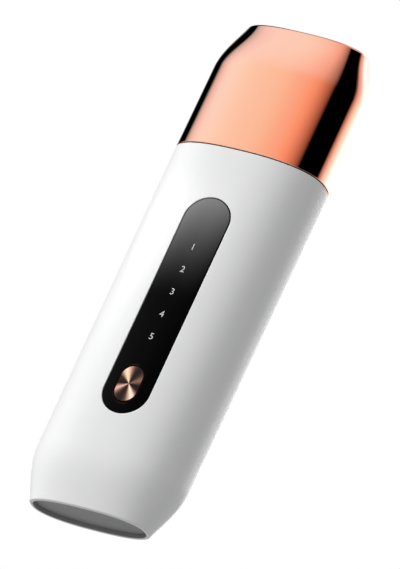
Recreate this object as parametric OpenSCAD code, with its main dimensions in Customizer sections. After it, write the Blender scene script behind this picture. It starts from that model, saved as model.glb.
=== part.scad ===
// Handheld ultrasonic skin scrubber with its lift-off cap.
// Millimetres. +Z runs from the foot to the cap, the control panel faces -Y,
// and the origin is the centre of the foot's flat rim.

/* [Body shell] */
// Width of the body at the joint with the cap
body_w = 49; // [48:0.5:54]
// Depth of the body at the joint with the cap
body_d = 24.8; // [24.6:0.2:28]
// Squareness of the body's section, where 2 is an ellipse
body_n = 2.4; // [2.3:0.1:2.8]
// Height of the joint between the body and the cap
joint_z = 117; // [116:1:124]
// Narrowing of the body towards its foot, percent per 100 mm
body_taper = 1.8; // [0:0.2:2.4]
// Wall of the body shell
shell_wall = 1.8; // [1.5:0.1:2]
// Width of the foot
foot_w = 38.8; // [37:0.2:44]
// Depth of the foot
foot_d = 15; // [14.4:0.2:18]
// Height of the drawn-in stretch above the foot
foot_h = 17; // [13:1:19]
// Share of a half wave that the foot's curve runs through
foot_curve = 0.663; // [0.55:0.01:0.8]
// Width of the flat rim that the body stands on
foot_rim = 1.15; // [1:0.05:1.5]
// Depth of the recess inside the rim
foot_recess = 1.2; // [0.8:0.1:1.8]

/* [Cap] */
// Height of the cap above the joint
cap_h = 43; // [42:0.5:50]
// Width of the cap's top
cap_top_w = 39; // [38:0.5:44]
// Depth of the cap's top
cap_top_d = 16.8; // [16.4:0.2:20]
// Squareness of the cap's top
cap_top_n = 2.7; // [2.4:0.1:3.2]
// Height of the drawn-in stretch below the cap's top
cap_shoulder_h = 16; // [12:1:18]
// Share of a half wave that the cap's curve runs through
cap_curve = 0.7; // [0.6:0.01:0.8]
// Narrowing of the cap's lower stretch, percent per 100 mm
cap_taper = 2.2; // [0:0.2:3]
// Wall of the cap
cap_wall = 1.5; // [1.2:0.1:1.8]
// Thickness of the cap's top
cap_top_t = 1.8; // [1.4:0.1:2.2]
// Rounding of the cap's top edge
cap_edge_r = 1; // [0.6:0.1:1.4]
// Shadow gap between the body and the cap
cap_gap = 0.3; // [0.2:0.05:0.5]
// Clearance between the cap and the collar that it slides over
cap_fit = 0.3; // [0.2:0.05:0.4]

/* [Control panel] */
// Width of the panel
panel_w = 14.9; // [14:0.1:16]
// Height of the panel
panel_h = 72; // [70:0.5:76]
// Height of the panel's centre
panel_z = 64.8; // [63:0.2:66]
// Thickness of the panel at its middle, with the body at full depth
panel_t = 1.5; // [1.2:0.1:1.7]
// Gap round the panel in its pocket
panel_fit = 0.08; // [0.05:0.01:0.15]
// Width of the ledge that carries the panel
panel_ledge = 1.2; // [1:0.1:1.6]
// Thickness of the adhesive under the panel
glue_t = 0.15; // [0.1:0.05:0.25]
// Height of the top mode mark
mark_top_z = 84.2; // [83:0.1:85]
// Spacing of the mode marks
mark_pitch = 7.5; // [7:0.1:7.6]
// Number of mode marks
mark_count = 5; // [3:1:5]

/* [Power key] */
// Width of the key
key_w = 7.1; // [6.4:0.1:7.6]
// Height of the key
key_h = 11.5; // [10:0.1:12.4]
// Height of the key's centre
key_z = 38.3; // [37.8:0.1:39.4]
// How far the key stands out of the panel
key_proud = 0.35; // [0.3:0.05:0.6]
// Gap round the key
key_gap = 0.22; // [0.15:0.01:0.3]
// Travel of the key
key_travel = 0.3; // [0.2:0.05:0.35]
// Width of the ring round the key
ring_w = 0.45; // [0.3:0.05:0.7]

/* [Head and blade] */
// Height of the collar above the joint
collar_h = 13; // [11:0.5:14]
// Depth of the neck inside the body
neck_depth = 10; // [9.5:0.5:11]
// Wall of the neck
neck_wall = 1.7; // [1.5:0.1:2]
// Width of the blade
blade_w = 30; // [28:0.5:32]
// Thickness of the blade
blade_t = 1; // [0.8:0.1:1.2]
// Height of the blade's tip above the joint
blade_reach = 39.5; // [38:0.5:40]
// Angle of the blade's bent tip
blade_bend = 35; // [20:1:40]
// Radius of the blade's bend
bend_r = 8; // [6:0.5:9]
// Length of the flat stretch past the bend
blade_lip = 5; // [4:0.5:5.5]
// Radius of the blade's tip corners
blade_corner = 3; // [2:0.5:4]
// Thickness of the blade's working edge
blade_edge_t = 0.5; // [0.4:0.1:0.7]

/* [Transducer] */
// Diameter of the piezo rings
piezo_d = 14; // [13:0.5:14.4]
// Thickness of one piezo ring
piezo_t = 2.5; // [2:0.1:2.6]
// Number of piezo rings
piezo_count = 2; // [2:2:2]
// Thickness of a contact washer
washer_t = 0.2; // [0.15:0.05:0.25]
// Length of the steel back mass
back_len = 11; // [9:0.5:11.5]
// Diameter of the clamp bolt
bolt_d = 4; // [3:0.5:4.5]
// Diameter of the horn's tip
tip_d = 7.2; // [6.6:0.2:7.6]

/* [Circuit board] */
// Width of the main board
board_w = 26; // [24:0.5:28]
// Height of the main board
board_h = 62; // [60:0.5:62.5]
// Thickness of the boards
board_t = 1; // [0.8:0.1:1.2]
// Height of the main board's lower edge
board_z = 26.3; // [26:0.1:27]
// Room behind the board for its tall parts
board_room = 4.6; // [4.4:0.1:4.8]

/* [Battery] */
// Width of the battery
battery_w = 24; // [20:0.5:26]
// Height of the battery
battery_h = 42; // [36:1:46]
// Thickness of the battery
battery_t = 6; // [5:0.1:6.6]

/* [Charging port] */
// Height of the charging port's centre
port_z = 21.6; // [21:0.1:22.4]
// Width of the port's metal shell
port_w = 8.94; // [8.94:0.01:9]
// Height of the port's metal shell
port_h = 3.16; // [3.16:0.01:3.2]
// Length of the port's metal shell
port_len = 7.35; // [6.8:0.05:7.6]

/* [Hidden] */
$fn = 48;
// Points round a lofted section
RING = 64;
// Clearance of a seated piece, and of a screw or pin in its hole
seat_fit = 0.1;
pin_fit = 0.05;
// Excess of a cut past the face that it opens
cut = 1;

// Levels of the foot, from the bottom up
foot_plate_t = 1.6;
foot_seal_t = 0.5;
foot_flange_w = 1.3;
foot_flange_t = 1.6;
foot_plate_z = foot_recess;
foot_seal_z = foot_plate_z + foot_plate_t;
foot_flange_z = foot_seal_z + foot_seal_t;
floor_z = foot_flange_z + foot_flange_t;
foot_wall = 1.2;
hook_h = 1.2;
hook_w = 4.8;
hook_out = 0.7;

// Levels of the head
top_z = joint_z + cap_h;
neck_z = joint_z - neck_depth;
collar_z = joint_z + collar_h;
crown_h = 8.5;
crown_z = collar_z + crown_h;
crown_w = 36;
crown_d = 8.4;
rim_step = 0.8;
rim_t = 1;
bead_w = 0.6;
bead_play = 0.02;
groove_z = neck_z + 3;
groove_h = 1.2;
groove_deep = 0.7;

// Depths behind the panel, from the front
panel_back_y = -body_d / 2 + panel_t;
pocket_y = panel_back_y + glue_t;
ledge_back_y = pocket_y + 1.45;
baffle_gap = 0.1;
board_y = panel_back_y + 4.4;
board_back_y = board_y + board_t;
web_y = board_back_y + board_room;
web_t = 1.4;
web_back_y = web_y + web_t;
tape_t = 0.3;
battery_y = web_back_y + tape_t;

// Power key and switch
key_front_y = -section_depth(key_z) - key_proud;
key_flange_w = 1;
key_flange_t = 0.7;
key_flange_y = panel_back_y + pin_fit;
carrier_t = 0.7;
carrier_y = key_flange_y + key_flange_t;
switch_w = 5;
switch_t = 1.3;
plunger_r = 1.2;
plunger_out = 0.4;
switch_y = board_y - switch_t;
plunger_y = switch_y - plunger_out;

// Transducer, from the horn's shoulder down
horn_z = neck_z + 2.6;
flange_t = 1.4;
flange_z = horn_z + 2.4;
iso_t = 1.4;
step_z = flange_z + flange_t + iso_t;
stack_h = piezo_count * piezo_t + (piezo_count + 1) * washer_t;
back_top_z = horn_z - stack_h;
back_z = back_top_z - back_len;
bolt_head_t = 2.6;
bolt_head_r = bolt_d * 0.85;
bolt_head_z = back_z - bolt_head_t;
bolt_grip = 5.5;
horn_r = piezo_d / 2 + 0.4;
flange_r = horn_r + 0.9;
bore_r = flange_r + 0.5;
upper_bore_r = horn_r + 0.5;
tip_top_z = collar_z + 0.8;
tip_len = 6;
horn_taper_z = step_z + 0.6;
cradle_r = horn_r + 0.9;
tube_wall = 1.6;
tip_room = 0.6;
pad_t = 0.8;

// Blade, from its tang up
tang_w = tip_d + 0.8;
tang_z = tip_top_z - 5;
flare_z = tip_top_z + 0.4;
root_z = flare_z + 3;
root_w = blade_w - 3;
tip_z = joint_z + blade_reach;
bend_rise = bend_r * sin(blade_bend) + blade_lip * cos(blade_bend);
bend_z = tip_z - bend_rise - blade_edge_t / 2 * sin(blade_bend);
gland_wall = 1.5;
gland_z = root_z + 0.4;
slot_w = root_w + 2 * gland_wall;
slot_d = blade_t + 2 * gland_wall;
slot_room = 0.8;
slot_deep = 6;
pin_r = 0.8;
pin_z = tip_top_z - 2.6;

// Chassis
rail_z = floor_z + hook_h + 1.6;
chassis_fit = 0.3;
rail_x = 17.5;
rail_t = 1.2;
top_plate_t = 2.4;
cradle_floor_t = 1.8;
cradle_z = back_z - pad_t - cradle_floor_t;
head_room_r = bolt_head_r + 0.8;
chassis_screw_x = 14.6;
screw_r = 1;
screw_head_r = 1.9;
screw_head_t = 1.2;
post_r = 2.2;
post_inset = 2.3;
board_top_z = board_z + board_h;
battery_z = port_z + 8;
cell_end_h = 2.4;
cell_end_inset = 1;
battery_top_z = battery_z + battery_h + cell_end_h;
bay_fit = 0.3;
bay_x = battery_w / 2 + bay_fit;
bay_wall = 1.2;
shelf_gap = 0.2;
window_w = 12;
window_h = 7;
screw_grip = 6;
boss_r = screw_r + 1.8;
head_z = neck_z - top_plate_t;

// Parts on the board: width and height of each, and how far it stands off
controller = [6, 6];
controller_t = 0.9;
power_chip = [4, 5];
power_chip_t = 1.5;
bobbin = [6.6, 10.4];
bobbin_t = board_room - 0.5;
winding_h = 3.4;
core = [14.2, 9];
core_limb_w = 2.4;
core_bar_t = 1.6;
core_limb_t = 3.4;
small_cap = [3.2, 1.6];
small_cap_t = 1.3;
small_cap_pitch = 5;
large_cap = [2.6, 4.4];
large_cap_t = 1.8;
column_x = 5.5;

// Lights behind the panel, and the comb between them
led = [1.6, 0.8];
led_t = 0.7;
light_window = [6.6, 3.2];
baffle_rim = 2.2;

// Wires, which pass the cradle 45 degrees to each side of its front
lead_r = 0.4;
lead_start = 1;
battery_lead_z = battery_top_z + 6.5;
tab_pitch = 2;
tab_w = 1.6;
tab_out = 1.2;
lead_x = (cradle_r + lead_r + 0.1) * sin(45);
lead_y = -lead_x;
cradle_mouth = lead_x + lead_r + 0.3;

// Charging port
port_r = port_h / 2;
port_skin = 0.3;
port_end_t = 1;
tongue_t = 0.7;
tongue_inset = 1.2;
port_mouth_y = section_depth(port_z) - 0.3;
port_back_y = port_mouth_y - port_len;
port_frame_w = 1;
port_flange_w = 0.7;
port_flange_t = 0.8;
port_face_y = section_depth(port_z) - 0.22;
charge_board_w = 15;
charge_board_z = port_z - port_r - board_t;
charge_board_end_y = section_depth(port_z) - shell_wall - 1.4;
shelf_t = 1.5;

// Value a share s of the way from p to q
function mix(p, q, s) = p + (q - p) * s;

// Rise from 0 to 1 along the first share c of a half cosine wave
function ease(t, c) = (1 - cos(180 * c * t)) / (1 - cos(180 * c));

// Half width, half depth and squareness of the body at a height
function body_section(z) =
  let (
    f = 1 - body_taper / 100 * (joint_z - z) / 100,
    s = z < foot_h ? ease((foot_h - z) / foot_h, foot_curve) : 0
  )
  [mix(body_w / 2 * f, foot_w / 2, s), mix(body_d / 2 * f, foot_d / 2, s), body_n];

// The same for the cap, whose lower edge matches the body
function cap_section(z) =
  let (
    f = 1 - cap_taper / 100 * (z - joint_z) / 100,
    h = z - (top_z - cap_shoulder_h),
    s = h > 0 ? ease(h / cap_shoulder_h, cap_curve) : 0
  )
  [
    mix(body_w / 2 * f, cap_top_w / 2, s), mix(body_d / 2 * f, cap_top_d / 2, s),
    mix(body_n, cap_top_n, s)
  ];

// Depth of the body's surface from its axis, at a height
function section_depth(z) = body_section(z)[1];

// A section drawn in by an inset
function inset(s, d) = [s[0] - d, s[1] - d, s[2]];

// Points of a superellipse with half width s[0], half depth s[1] and squareness s[2]
function outline(s) =
  [
    for (i = [0:RING - 1])
      let (
        t = 360 * i / RING,
        r = pow(pow(abs(cos(t)), s[2]) + pow(abs(sin(t)), s[2]), -1 / s[2])
      )
      [s[0] * r * cos(t), s[1] * r * sin(t)]
  ];

// Heights from a to b in equal steps, both ends included
function levels(a, b, steps) = [for (i = [0:steps]) mix(a, b, i / steps)];

// Solid through a list of sections, each a section and its height
module loft(stack) {
  n = len(stack);
  points = [for (s = stack) for (p = outline(s[0])) [p[0], p[1], s[1]]];
  bottom = [[for (i = [0:RING - 1]) i]];
  top = [[for (i = [0:RING - 1]) (n - 1) * RING + RING - 1 - i]];
  sides = [
    for (k = [0:n - 2])
      for (i = [0:RING - 1])
        let (j = (i + 1) % RING, a = k * RING, b = a + RING)
        for (f = [[a + i, b + i, b + j], [a + i, b + j, a + j]]) f
  ];
  polyhedron(points=points, faces=concat(bottom, top, sides), convexity=6);
}

// Straight solid of one section between two heights
module plug(s, z0, z1) {
  translate([0, 0, z0]) linear_extrude(z1 - z0) polygon(outline(s));
}

// Outer surface of the body, drawn in by an inset
module body_form(inward=0) {
  heights = concat(levels(0, foot_h, 8), [joint_z]);
  loft([for (z = heights) [inset(body_section(z), inward), z]]);
}

// Space inside the shell, from a level up through the open top
module body_cavity(z0, inward) {
  heights = concat(levels(z0, foot_h, 6), [joint_z + cut]);
  loft([for (z = heights) [inset(body_section(z), inward), z]]);
}

// Outline with round ends, centred, its long side along Z once stood up
module stadium(w, h) {
  r = min(w, h) / 2;
  square([w > h ? w - 2 * r : w, w > h ? h : h - 2 * r], center=true);
  for (s = [-1, 1])
    translate(w > h ? [s * (w / 2 - r), 0] : [0, s * (h / 2 - r)]) circle(r);
}

// Stands a flat shape up in XZ and gives it thickness from y0 to y1
module upright(y0, y1, x=0, z=0) {
  translate([x, y1, z]) rotate([90, 0, 0]) linear_extrude(y1 - y0) children();
}

// Box between two corners
module block(a, b) {
  translate(a) cube(b - a);
}

// Cylinder between two heights
module rod(r, z0, z1, x=0, y=0) {
  translate([x, y, z0]) cylinder(r=r, h=z1 - z0);
}

// Cylinder along Y between two depths
module peg(r, y0, y1, x, z) {
  translate([x, y1, z]) rotate([90, 0, 0]) cylinder(r=r, h=y1 - y0);
}

// Insulated wire swept along a list of points, with 8 sides
module wire(route, r) {
  sides = 8;
  n = len(route);
  function unit(v) = v / norm(v);
  function heading(i) =
    unit(route[min(i + 1, n - 1)] - route[max(i - 1, 0)]);
  function side_axis(d) = unit(cross(abs(d[0]) > 0.9 ? [0, 1, 0] : [1, 0, 0], d));
  points = [
    for (i = [0:n - 1])
      let (d = heading(i), u = side_axis(d), v = cross(d, u))
      for (k = [0:sides - 1])
        route[i] + r * (cos(360 * k / sides) * u + sin(360 * k / sides) * v)
  ];
  walls = [
    for (i = [0:n - 2])
      for (k = [0:sides - 1])
        let (j = (k + 1) % sides, a = i * sides, b = a + sides)
        for (f = [[a + k, b + k, b + j], [a + k, b + j, a + j]]) f
  ];
  ends = [
    [for (k = [0:sides - 1]) k],
    [for (k = [0:sides - 1]) (n - 1) * sides + sides - 1 - k]
  ];
  polyhedron(points=points, faces=concat(ends, walls), convexity=4);
}

// Smooth route through three corners, as a quadratic curve
function bow(a, b, c, steps=8) =
  [for (i = [0:steps]) let (t = i / steps) (1 - t) * (1 - t) * a + 2 * t * (1 - t) * b + t * t * c];

// Opening in the foot's rim, and the smaller one in its flange
foot_open = inset([foot_w / 2, foot_d / 2, body_n], foot_rim);
foot_inner = inset(foot_open, foot_flange_w);
// Mouth of the shell at the joint, its throat round the neck, and the collar under the cap
mouth = inset([body_w / 2, body_d / 2, body_n], shell_wall);
throat = inset(body_section(neck_z), shell_wall);
collar = inset(cap_section(collar_z), cap_wall + cap_fit);
// Width and height of the hole for the key's ring, and of the hole in the ledge
ring_hole = [key_w, key_h] + 2 * (key_gap + ring_w + 0.03) * [1, 1];
ledge_hole = [panel_w, panel_h] - 2 * panel_ledge * [1, 1];

// One-piece sleeve with a panel pocket in front, a port behind and a rim to stand on
module housing() {
  color("white") difference() {
    body_form();
    difference() {
      body_cavity(floor_z, shell_wall);
      upright(-body_d, ledge_back_y, z=panel_z)
        stadium(panel_w + 2.4, panel_h + 2.4);
    }
    plug(foot_open, -cut, foot_flange_z);
    plug(foot_inner, foot_flange_z - cut, floor_z + cut);
    plug(inset(mouth, -rim_step), joint_z - rim_t, joint_z + cut);
    upright(-body_d, pocket_y, z=panel_z) stadium(panel_w, panel_h);
    upright(-body_d, 0, z=panel_z) stadium(ledge_hole[0], ledge_hole[1]);
    upright(0, body_d, z=port_z)
      stadium(port_w + 2 * (port_frame_w + pin_fit), port_h + 2 * (port_frame_w + pin_fit));
  }
}

// Glossy dark panel, its face flush with the body
module panel_lens() {
  color([0.04, 0.04, 0.05]) difference() {
    intersection() {
      body_form();
      upright(-body_d, panel_back_y, z=panel_z)
        stadium(panel_w - 2 * panel_fit, panel_h - 2 * panel_fit);
    }
    upright(-body_d, 0, z=key_z) stadium(ring_hole[0], ring_hole[1]);
  }
}

// Double-sided adhesive on the ledge
module panel_adhesive() {
  color([0.2, 0.2, 0.2]) upright(panel_back_y, pocket_y, z=panel_z) difference() {
    stadium(panel_w - 2 * panel_fit, panel_h - 2 * panel_fit);
    stadium(ledge_hole[0], ledge_hole[1]);
  }
}

// Thin ring set into the panel round the key
module key_ring() {
  color([0.3, 0.2, 0.16]) upright(-section_depth(key_z) - 0.05, panel_back_y, z=key_z) difference() {
    stadium(key_w + 2 * (key_gap + ring_w), key_h + 2 * (key_gap + ring_w));
    stadium(key_w + 2 * key_gap, key_h + 2 * key_gap);
  }
}

// Spun-metal key with a flange that keeps it behind the panel
module power_key() {
  bevel = 0.25;
  run = key_h - key_w;
  color([0.85, 0.55, 0.42]) {
    for (s = [-1, 1])
      translate([0, key_front_y, key_z + s * run / 2]) rotate([-90, 0, 0])
        cylinder(r1=key_w / 2 - bevel, r2=key_w / 2, h=bevel);
    translate([0, key_front_y, key_z - run / 2]) linear_extrude(run) polygon([
      [-key_w / 2 + bevel, 0], [key_w / 2 - bevel, 0], [key_w / 2, bevel], [-key_w / 2, bevel]
    ]);
    upright(key_front_y + bevel, key_flange_y, z=key_z) stadium(key_w, key_h);
    upright(key_flange_y, carrier_y, z=key_z)
      stadium(key_w + 2 * key_flange_w, key_h + 2 * key_flange_w);
  }
}

// Plastic carrier behind the key, with the stem that meets the switch
module key_carrier() {
  color([0.15, 0.15, 0.16]) {
    upright(carrier_y, carrier_y + carrier_t, z=key_z) stadium(key_w, key_h);
    peg(1.6, carrier_y + carrier_t, plunger_y, 0, key_z);
  }
}

// Tactile switch on the front of the board
module switch_body() {
  color([0.2, 0.2, 0.2]) difference() {
    upright(switch_y, board_y, z=key_z) square(switch_w, center=true);
    peg(plunger_r + pin_fit, switch_y - cut, board_y - 0.3, 0, key_z);
  }
}

module switch_plunger() {
  color("ivory") peg(plunger_r, plunger_y, board_y - 0.35 - key_travel, 0, key_z);
}

// Black comb that keeps each mark's light to itself
module light_baffle() {
  span = (mark_count - 1) * mark_pitch;
  size = light_window + 2 * baffle_rim * [1, 0.65] + [0, span];
  color([0.1, 0.1, 0.1]) difference() {
    upright(panel_back_y + baffle_gap, board_y, z=mark_top_z - span / 2) square(size, center=true);
    for (i = [0:mark_count - 1])
      upright(-body_d, 0, z=mark_top_z - i * mark_pitch) square(light_window, center=true);
  }
}

module mode_leds() {
  color("white") for (i = [0:mark_count - 1])
    upright(board_y - led_t, board_y, z=mark_top_z - i * mark_pitch) square(led, center=true);
}

// Height of a point a share s of the way up the board
function up_board(s) = board_z + s * board_h;

// Corners of the board that carry its screws
function board_corners() =
  [
    for (x = [-1, 1]) for (z = [board_z + post_inset, board_top_z - post_inset])
      [x * (board_w / 2 - post_inset), z]
  ];

module main_board() {
  color([0.1, 0.4, 0.2]) difference() {
    upright(board_y, board_back_y, z=board_z + board_h / 2) square([board_w, board_h], center=true);
    for (c = board_corners()) peg(screw_r + 2 * pin_fit, board_y - cut, board_back_y + cut, c[0], c[1]);
  }
}

module board_screws() {
  color("silver") for (c = board_corners()) {
    peg(screw_head_r, board_y - screw_head_t, board_y, c[0], c[1]);
    peg(screw_r, board_y, web_y - 0.6, c[0], c[1]);
  }
}

// Part on the back of the board, standing off it from t0 to t1
module on_board(size, t0, t1, x, share) {
  upright(board_back_y + t0, board_back_y + t1, x=x, z=up_board(share)) square(size, center=true);
}

module controller_chip() {
  color([0.12, 0.12, 0.12]) on_board(controller, 0, controller_t, -column_x, 0.32);
}

module power_chips() {
  color([0.12, 0.12, 0.12]) for (share = [0.15, 0.5])
    on_board(power_chip, 0, power_chip_t, column_x, share);
}

// Step-up transformer: bobbin with its winding, and the ferrite core round it
module drive_transformer() {
  low = (bobbin_t - core_bar_t) / 2 - pin_fit;
  color([0.75, 0.5, 0.25]) difference() {
    on_board(bobbin, 0, bobbin_t, 0, 0.74);
    on_board([bobbin[0] + cut, winding_h], low, bobbin_t - low, 0, 0.74);
  }
}

module transformer_core() {
  bar = [core[0] - 2 * core_limb_w + cut, winding_h - 2 * pin_fit];
  color([0.25, 0.25, 0.27]) {
    on_board(bar, (bobbin_t - core_bar_t) / 2, (bobbin_t + core_bar_t) / 2, 0, 0.74);
    for (s = [-1, 1])
      on_board(
        [core_limb_w, core[1]], (bobbin_t - core_limb_t) / 2, (bobbin_t + core_limb_t) / 2,
        s * (core[0] - core_limb_w) / 2, 0.74
      );
  }
}

module board_capacitors() {
  color([0.7, 0.6, 0.45]) {
    for (i = [0:3]) on_board(small_cap, 0, small_cap_t, small_cap_pitch * (i - 1.5), 0.6);
    for (x = [-column_x - 1, -column_x + 4]) on_board(large_cap, 0, large_cap_t, x, 0.15);
  }
}

// Frame that carries the board, the battery, the port and the transducer's tail
module chassis() {
  color([0.75, 0.75, 0.72]) difference() {
    intersection() {
      body_cavity(floor_z, shell_wall + chassis_fit);
      union() {
        block([-body_w / 2, web_y, rail_z], [body_w / 2, web_back_y, cradle_z + 1]);
        for (s = [-1, 1])
          block(
            [s * rail_x - rail_t / 2, -body_d / 2, rail_z],
            [s * rail_x + rail_t / 2, body_d / 2, neck_z]
          );
        for (c = board_corners()) peg(post_r, board_back_y, web_y + 0.1, c[0], c[1]);
        for (s = [-1, 1])
          block(
            [s * bay_x + (s - 1) / 2 * bay_wall, web_y, battery_z - bay_wall],
            [s * bay_x + (s + 1) / 2 * bay_wall, battery_y + battery_t, battery_z + battery_h + bay_wall]
          );
        block(
          [-bay_x, web_y, battery_z - bay_wall],
          [bay_x, battery_y + battery_t / 2, battery_z - shelf_gap]
        );
        block(
          [-charge_board_w / 2 - 1, web_y, charge_board_z - shelf_t],
          [charge_board_w / 2 + 1, charge_board_end_y, charge_board_z]
        );
        block([-cradle_r - 2, -body_d / 2, cradle_z], [cradle_r + 2, body_d / 2, neck_z]);
        block([-body_w / 2, -body_d / 2, head_z], [body_w / 2, body_d / 2, neck_z]);
      }
    }
    block([-body_w, -body_d, neck_z], [body_w, body_d, joint_z + 2 * cut]);
    rod(cradle_r, back_z - pad_t, neck_z + cut);
    rod(head_room_r, cradle_z - cut, back_z + cut);
    block(
      [-window_w / 2, web_y - cut, battery_z - bay_wall - seat_fit - window_h],
      [window_w / 2, web_back_y + cut, battery_z - bay_wall - seat_fit]
    );
    block(
      [-window_w / 2, web_y - cut, battery_lead_z - window_h / 2],
      [window_w / 2, web_back_y + cut, battery_lead_z + window_h / 2]
    );
    block([-cradle_mouth, -body_d, cradle_z - cut], [cradle_mouth, 0, neck_z + cut]);
    block(
      [-bay_x, -body_d, cradle_z - cut],
      [bay_x, ledge_back_y + 0.2, panel_z + panel_h / 2 + 2]
    );
    for (c = board_corners()) peg(screw_r + pin_fit, board_back_y - cut, web_y - 0.4, c[0], c[1]);
    for (s = [-1, 1])
      rod(screw_r + 2 * pin_fit, head_z - cut, neck_z + cut, x=s * chassis_screw_x);
  }
}

module chassis_screws() {
  color("silver") for (s = [-1, 1]) {
    rod(screw_head_r, head_z - screw_head_t, head_z, x=s * chassis_screw_x);
    rod(screw_r, head_z, neck_z + screw_grip, x=s * chassis_screw_x);
  }
}

module battery() {
  color([0.6, 0.65, 0.7]) {
    block(
      [-battery_w / 2, battery_y, battery_z],
      [battery_w / 2, battery_y + battery_t, battery_z + battery_h]
    );
    block(
      [-battery_w / 2 + cell_end_inset, battery_y + cell_end_inset, battery_z + battery_h],
      [battery_w / 2 - cell_end_inset, battery_y + battery_t - cell_end_inset, battery_top_z]
    );
  }
}

module battery_tape() {
  margin = 2.5;
  color("khaki") block(
    [-battery_w / 2 + margin, web_back_y, battery_z + margin],
    [battery_w / 2 - margin, battery_y, battery_z + battery_h - margin]
  );
}

// Two wires from the battery's top, through the web's upper window, to the board
module battery_leads() {
  y = battery_y + battery_t / 3;
  z = battery_lead_z;
  color("red") for (s = [-1, 1]) {
    x = s * 3;
    wire(
      concat(
        [[x, y, battery_top_z]],
        bow([x, y, battery_top_z + lead_start], [x, y, z], [x, board_back_y + lead_start, z]),
        [[x, board_back_y, z]]
      ), lead_r
    );
  }
}

// White head: plug in the body, collar under the cap, and crown round the blade
module neck() {
  inner = inset(collar, neck_wall);
  crown = [crown_w / 2, crown_d / 2, 2.4];
  color("whitesmoke") difference() {
    union() {
      plug(inset(throat, seat_fit), neck_z, joint_z);
      plug(inset(mouth, -rim_step + seat_fit), joint_z - rim_t, joint_z);
      plug(inset(collar, -bead_w), joint_z - rim_t, joint_z + cap_gap - bead_play);
      plug(collar, joint_z - rim_t, collar_z);
      loft([for (i = [0:6]) [mix(collar, crown, ease(i / 6, 0.72)), mix(collar_z - 0.2, crown_z, i / 6)]]);
    }
    difference() {
      plug(inner, neck_z - cut, collar_z - neck_wall);
      rod(bore_r + tube_wall, neck_z - 2 * cut, collar_z);
      for (s = [-1, 1]) rod(boss_r, neck_z - 2 * cut, collar_z, x=s * chassis_screw_x);
    }
    rod(bore_r, neck_z - cut, step_z);
    rod(upper_bore_r, step_z - cut, collar_z - neck_wall);
    rod(tip_d / 2 + tip_room, step_z, tip_top_z + tip_room);
    block(
      [-slot_w / 2 - slot_room, -slot_d / 2 - slot_room, collar_z - slot_deep],
      [slot_w / 2 + slot_room, slot_d / 2 + slot_room, gland_z]
    );
    block([-slot_w / 2, -slot_d / 2, root_z - cut], [slot_w / 2, slot_d / 2, crown_z + cut]);
    for (s = [-1, 1])
      rod(screw_r + pin_fit, neck_z - cut, neck_z + screw_grip + 1, x=s * chassis_screw_x);
    difference() {
      plug(inset(throat, -cut), groove_z, groove_z + groove_h);
      plug(inset(throat, seat_fit + groove_deep), groove_z - cut, groove_z + groove_h + cut);
    }
  }
}

// Ring in the neck's groove that closes the head against water
module neck_seal() {
  color([0.3, 0.3, 0.32]) difference() {
    plug(throat, groove_z + seat_fit, groove_z + groove_h - seat_fit);
    plug(inset(throat, seat_fit + groove_deep), groove_z - cut, groove_z + groove_h + cut);
  }
}

// Steel spatula: straight tang, flared root, and tip bent towards the panel side
module blade() {
  // Centre line in YZ, straight up to the bend, round it, and along the lip
  arc = [for (i = [0:8]) let (a = blade_bend * i / 8) [-bend_r * (1 - cos(a)), bend_z + bend_r * sin(a), a]];
  last = arc[8];
  end = [last[0] - blade_lip * sin(blade_bend), last[1] + blade_lip * cos(blade_bend), blade_bend];
  line = concat([[0, tang_z, 0]], arc, [end]);
  function side(s) = [
    for (i = [0:len(line) - 1])
      let (p = line[i], h = s * (i == len(line) - 1 ? blade_edge_t : blade_t) / 2)
      [p[0] + h * cos(p[2]), p[1] + h * sin(p[2])]
  ];
  front = side(-1);
  back = side(1);
  profile = concat(front, [for (i = [len(back) - 1:-1:0]) back[i]]);
  widen_z = crown_z + 1.5;
  wide_z = widen_z + 5;
  c = blade_corner;
  color("silver") intersection() {
    translate([-blade_w / 2 - cut, 0, 0]) rotate([90, 0, 90])
      linear_extrude(blade_w + 2 * cut) polygon(profile);
    upright(-body_d, body_d) difference() {
      union() {
        polygon([
          [-tang_w / 2, tang_z], [tang_w / 2, tang_z], [tang_w / 2, flare_z],
          [root_w / 2, root_z], [root_w / 2, widen_z], [blade_w / 2, wide_z],
          [blade_w / 2, tip_z - c], [-blade_w / 2, tip_z - c], [-blade_w / 2, wide_z],
          [-root_w / 2, widen_z], [-root_w / 2, root_z], [-tang_w / 2, flare_z]
        ]);
        translate([-blade_w / 2 + c, tip_z - c - 0.1]) square([blade_w - 2 * c, c + 2]);
        for (s = [-1, 1]) translate([s * (blade_w / 2 - c), tip_z - c]) circle(c);
      }
      translate([0, pin_z]) circle(pin_r + pin_fit);
    }
  }
}

// Soft gland that the blade passes through
module blade_seal() {
  w = slot_w - bead_play;
  d = slot_d - bead_play;
  lip = 0.7;
  color([0.75, 0.75, 0.76]) difference() {
    union() {
      block([-w / 2, -d / 2, gland_z + seat_fit], [w / 2, d / 2, crown_z]);
      translate([0, 0, crown_z]) linear_extrude(lip) stadium(w, d);
    }
    block(
      [-root_w / 2 - pin_fit, -blade_t / 2 - pin_fit, root_z - cut],
      [root_w / 2 + pin_fit, blade_t / 2 + pin_fit, crown_z + 2 * cut]
    );
  }
}

module blade_pin() {
  color("gray") peg(pin_r, -tip_d / 2 + 0.4, tip_d / 2 - 0.4, 0, pin_z);
}

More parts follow.
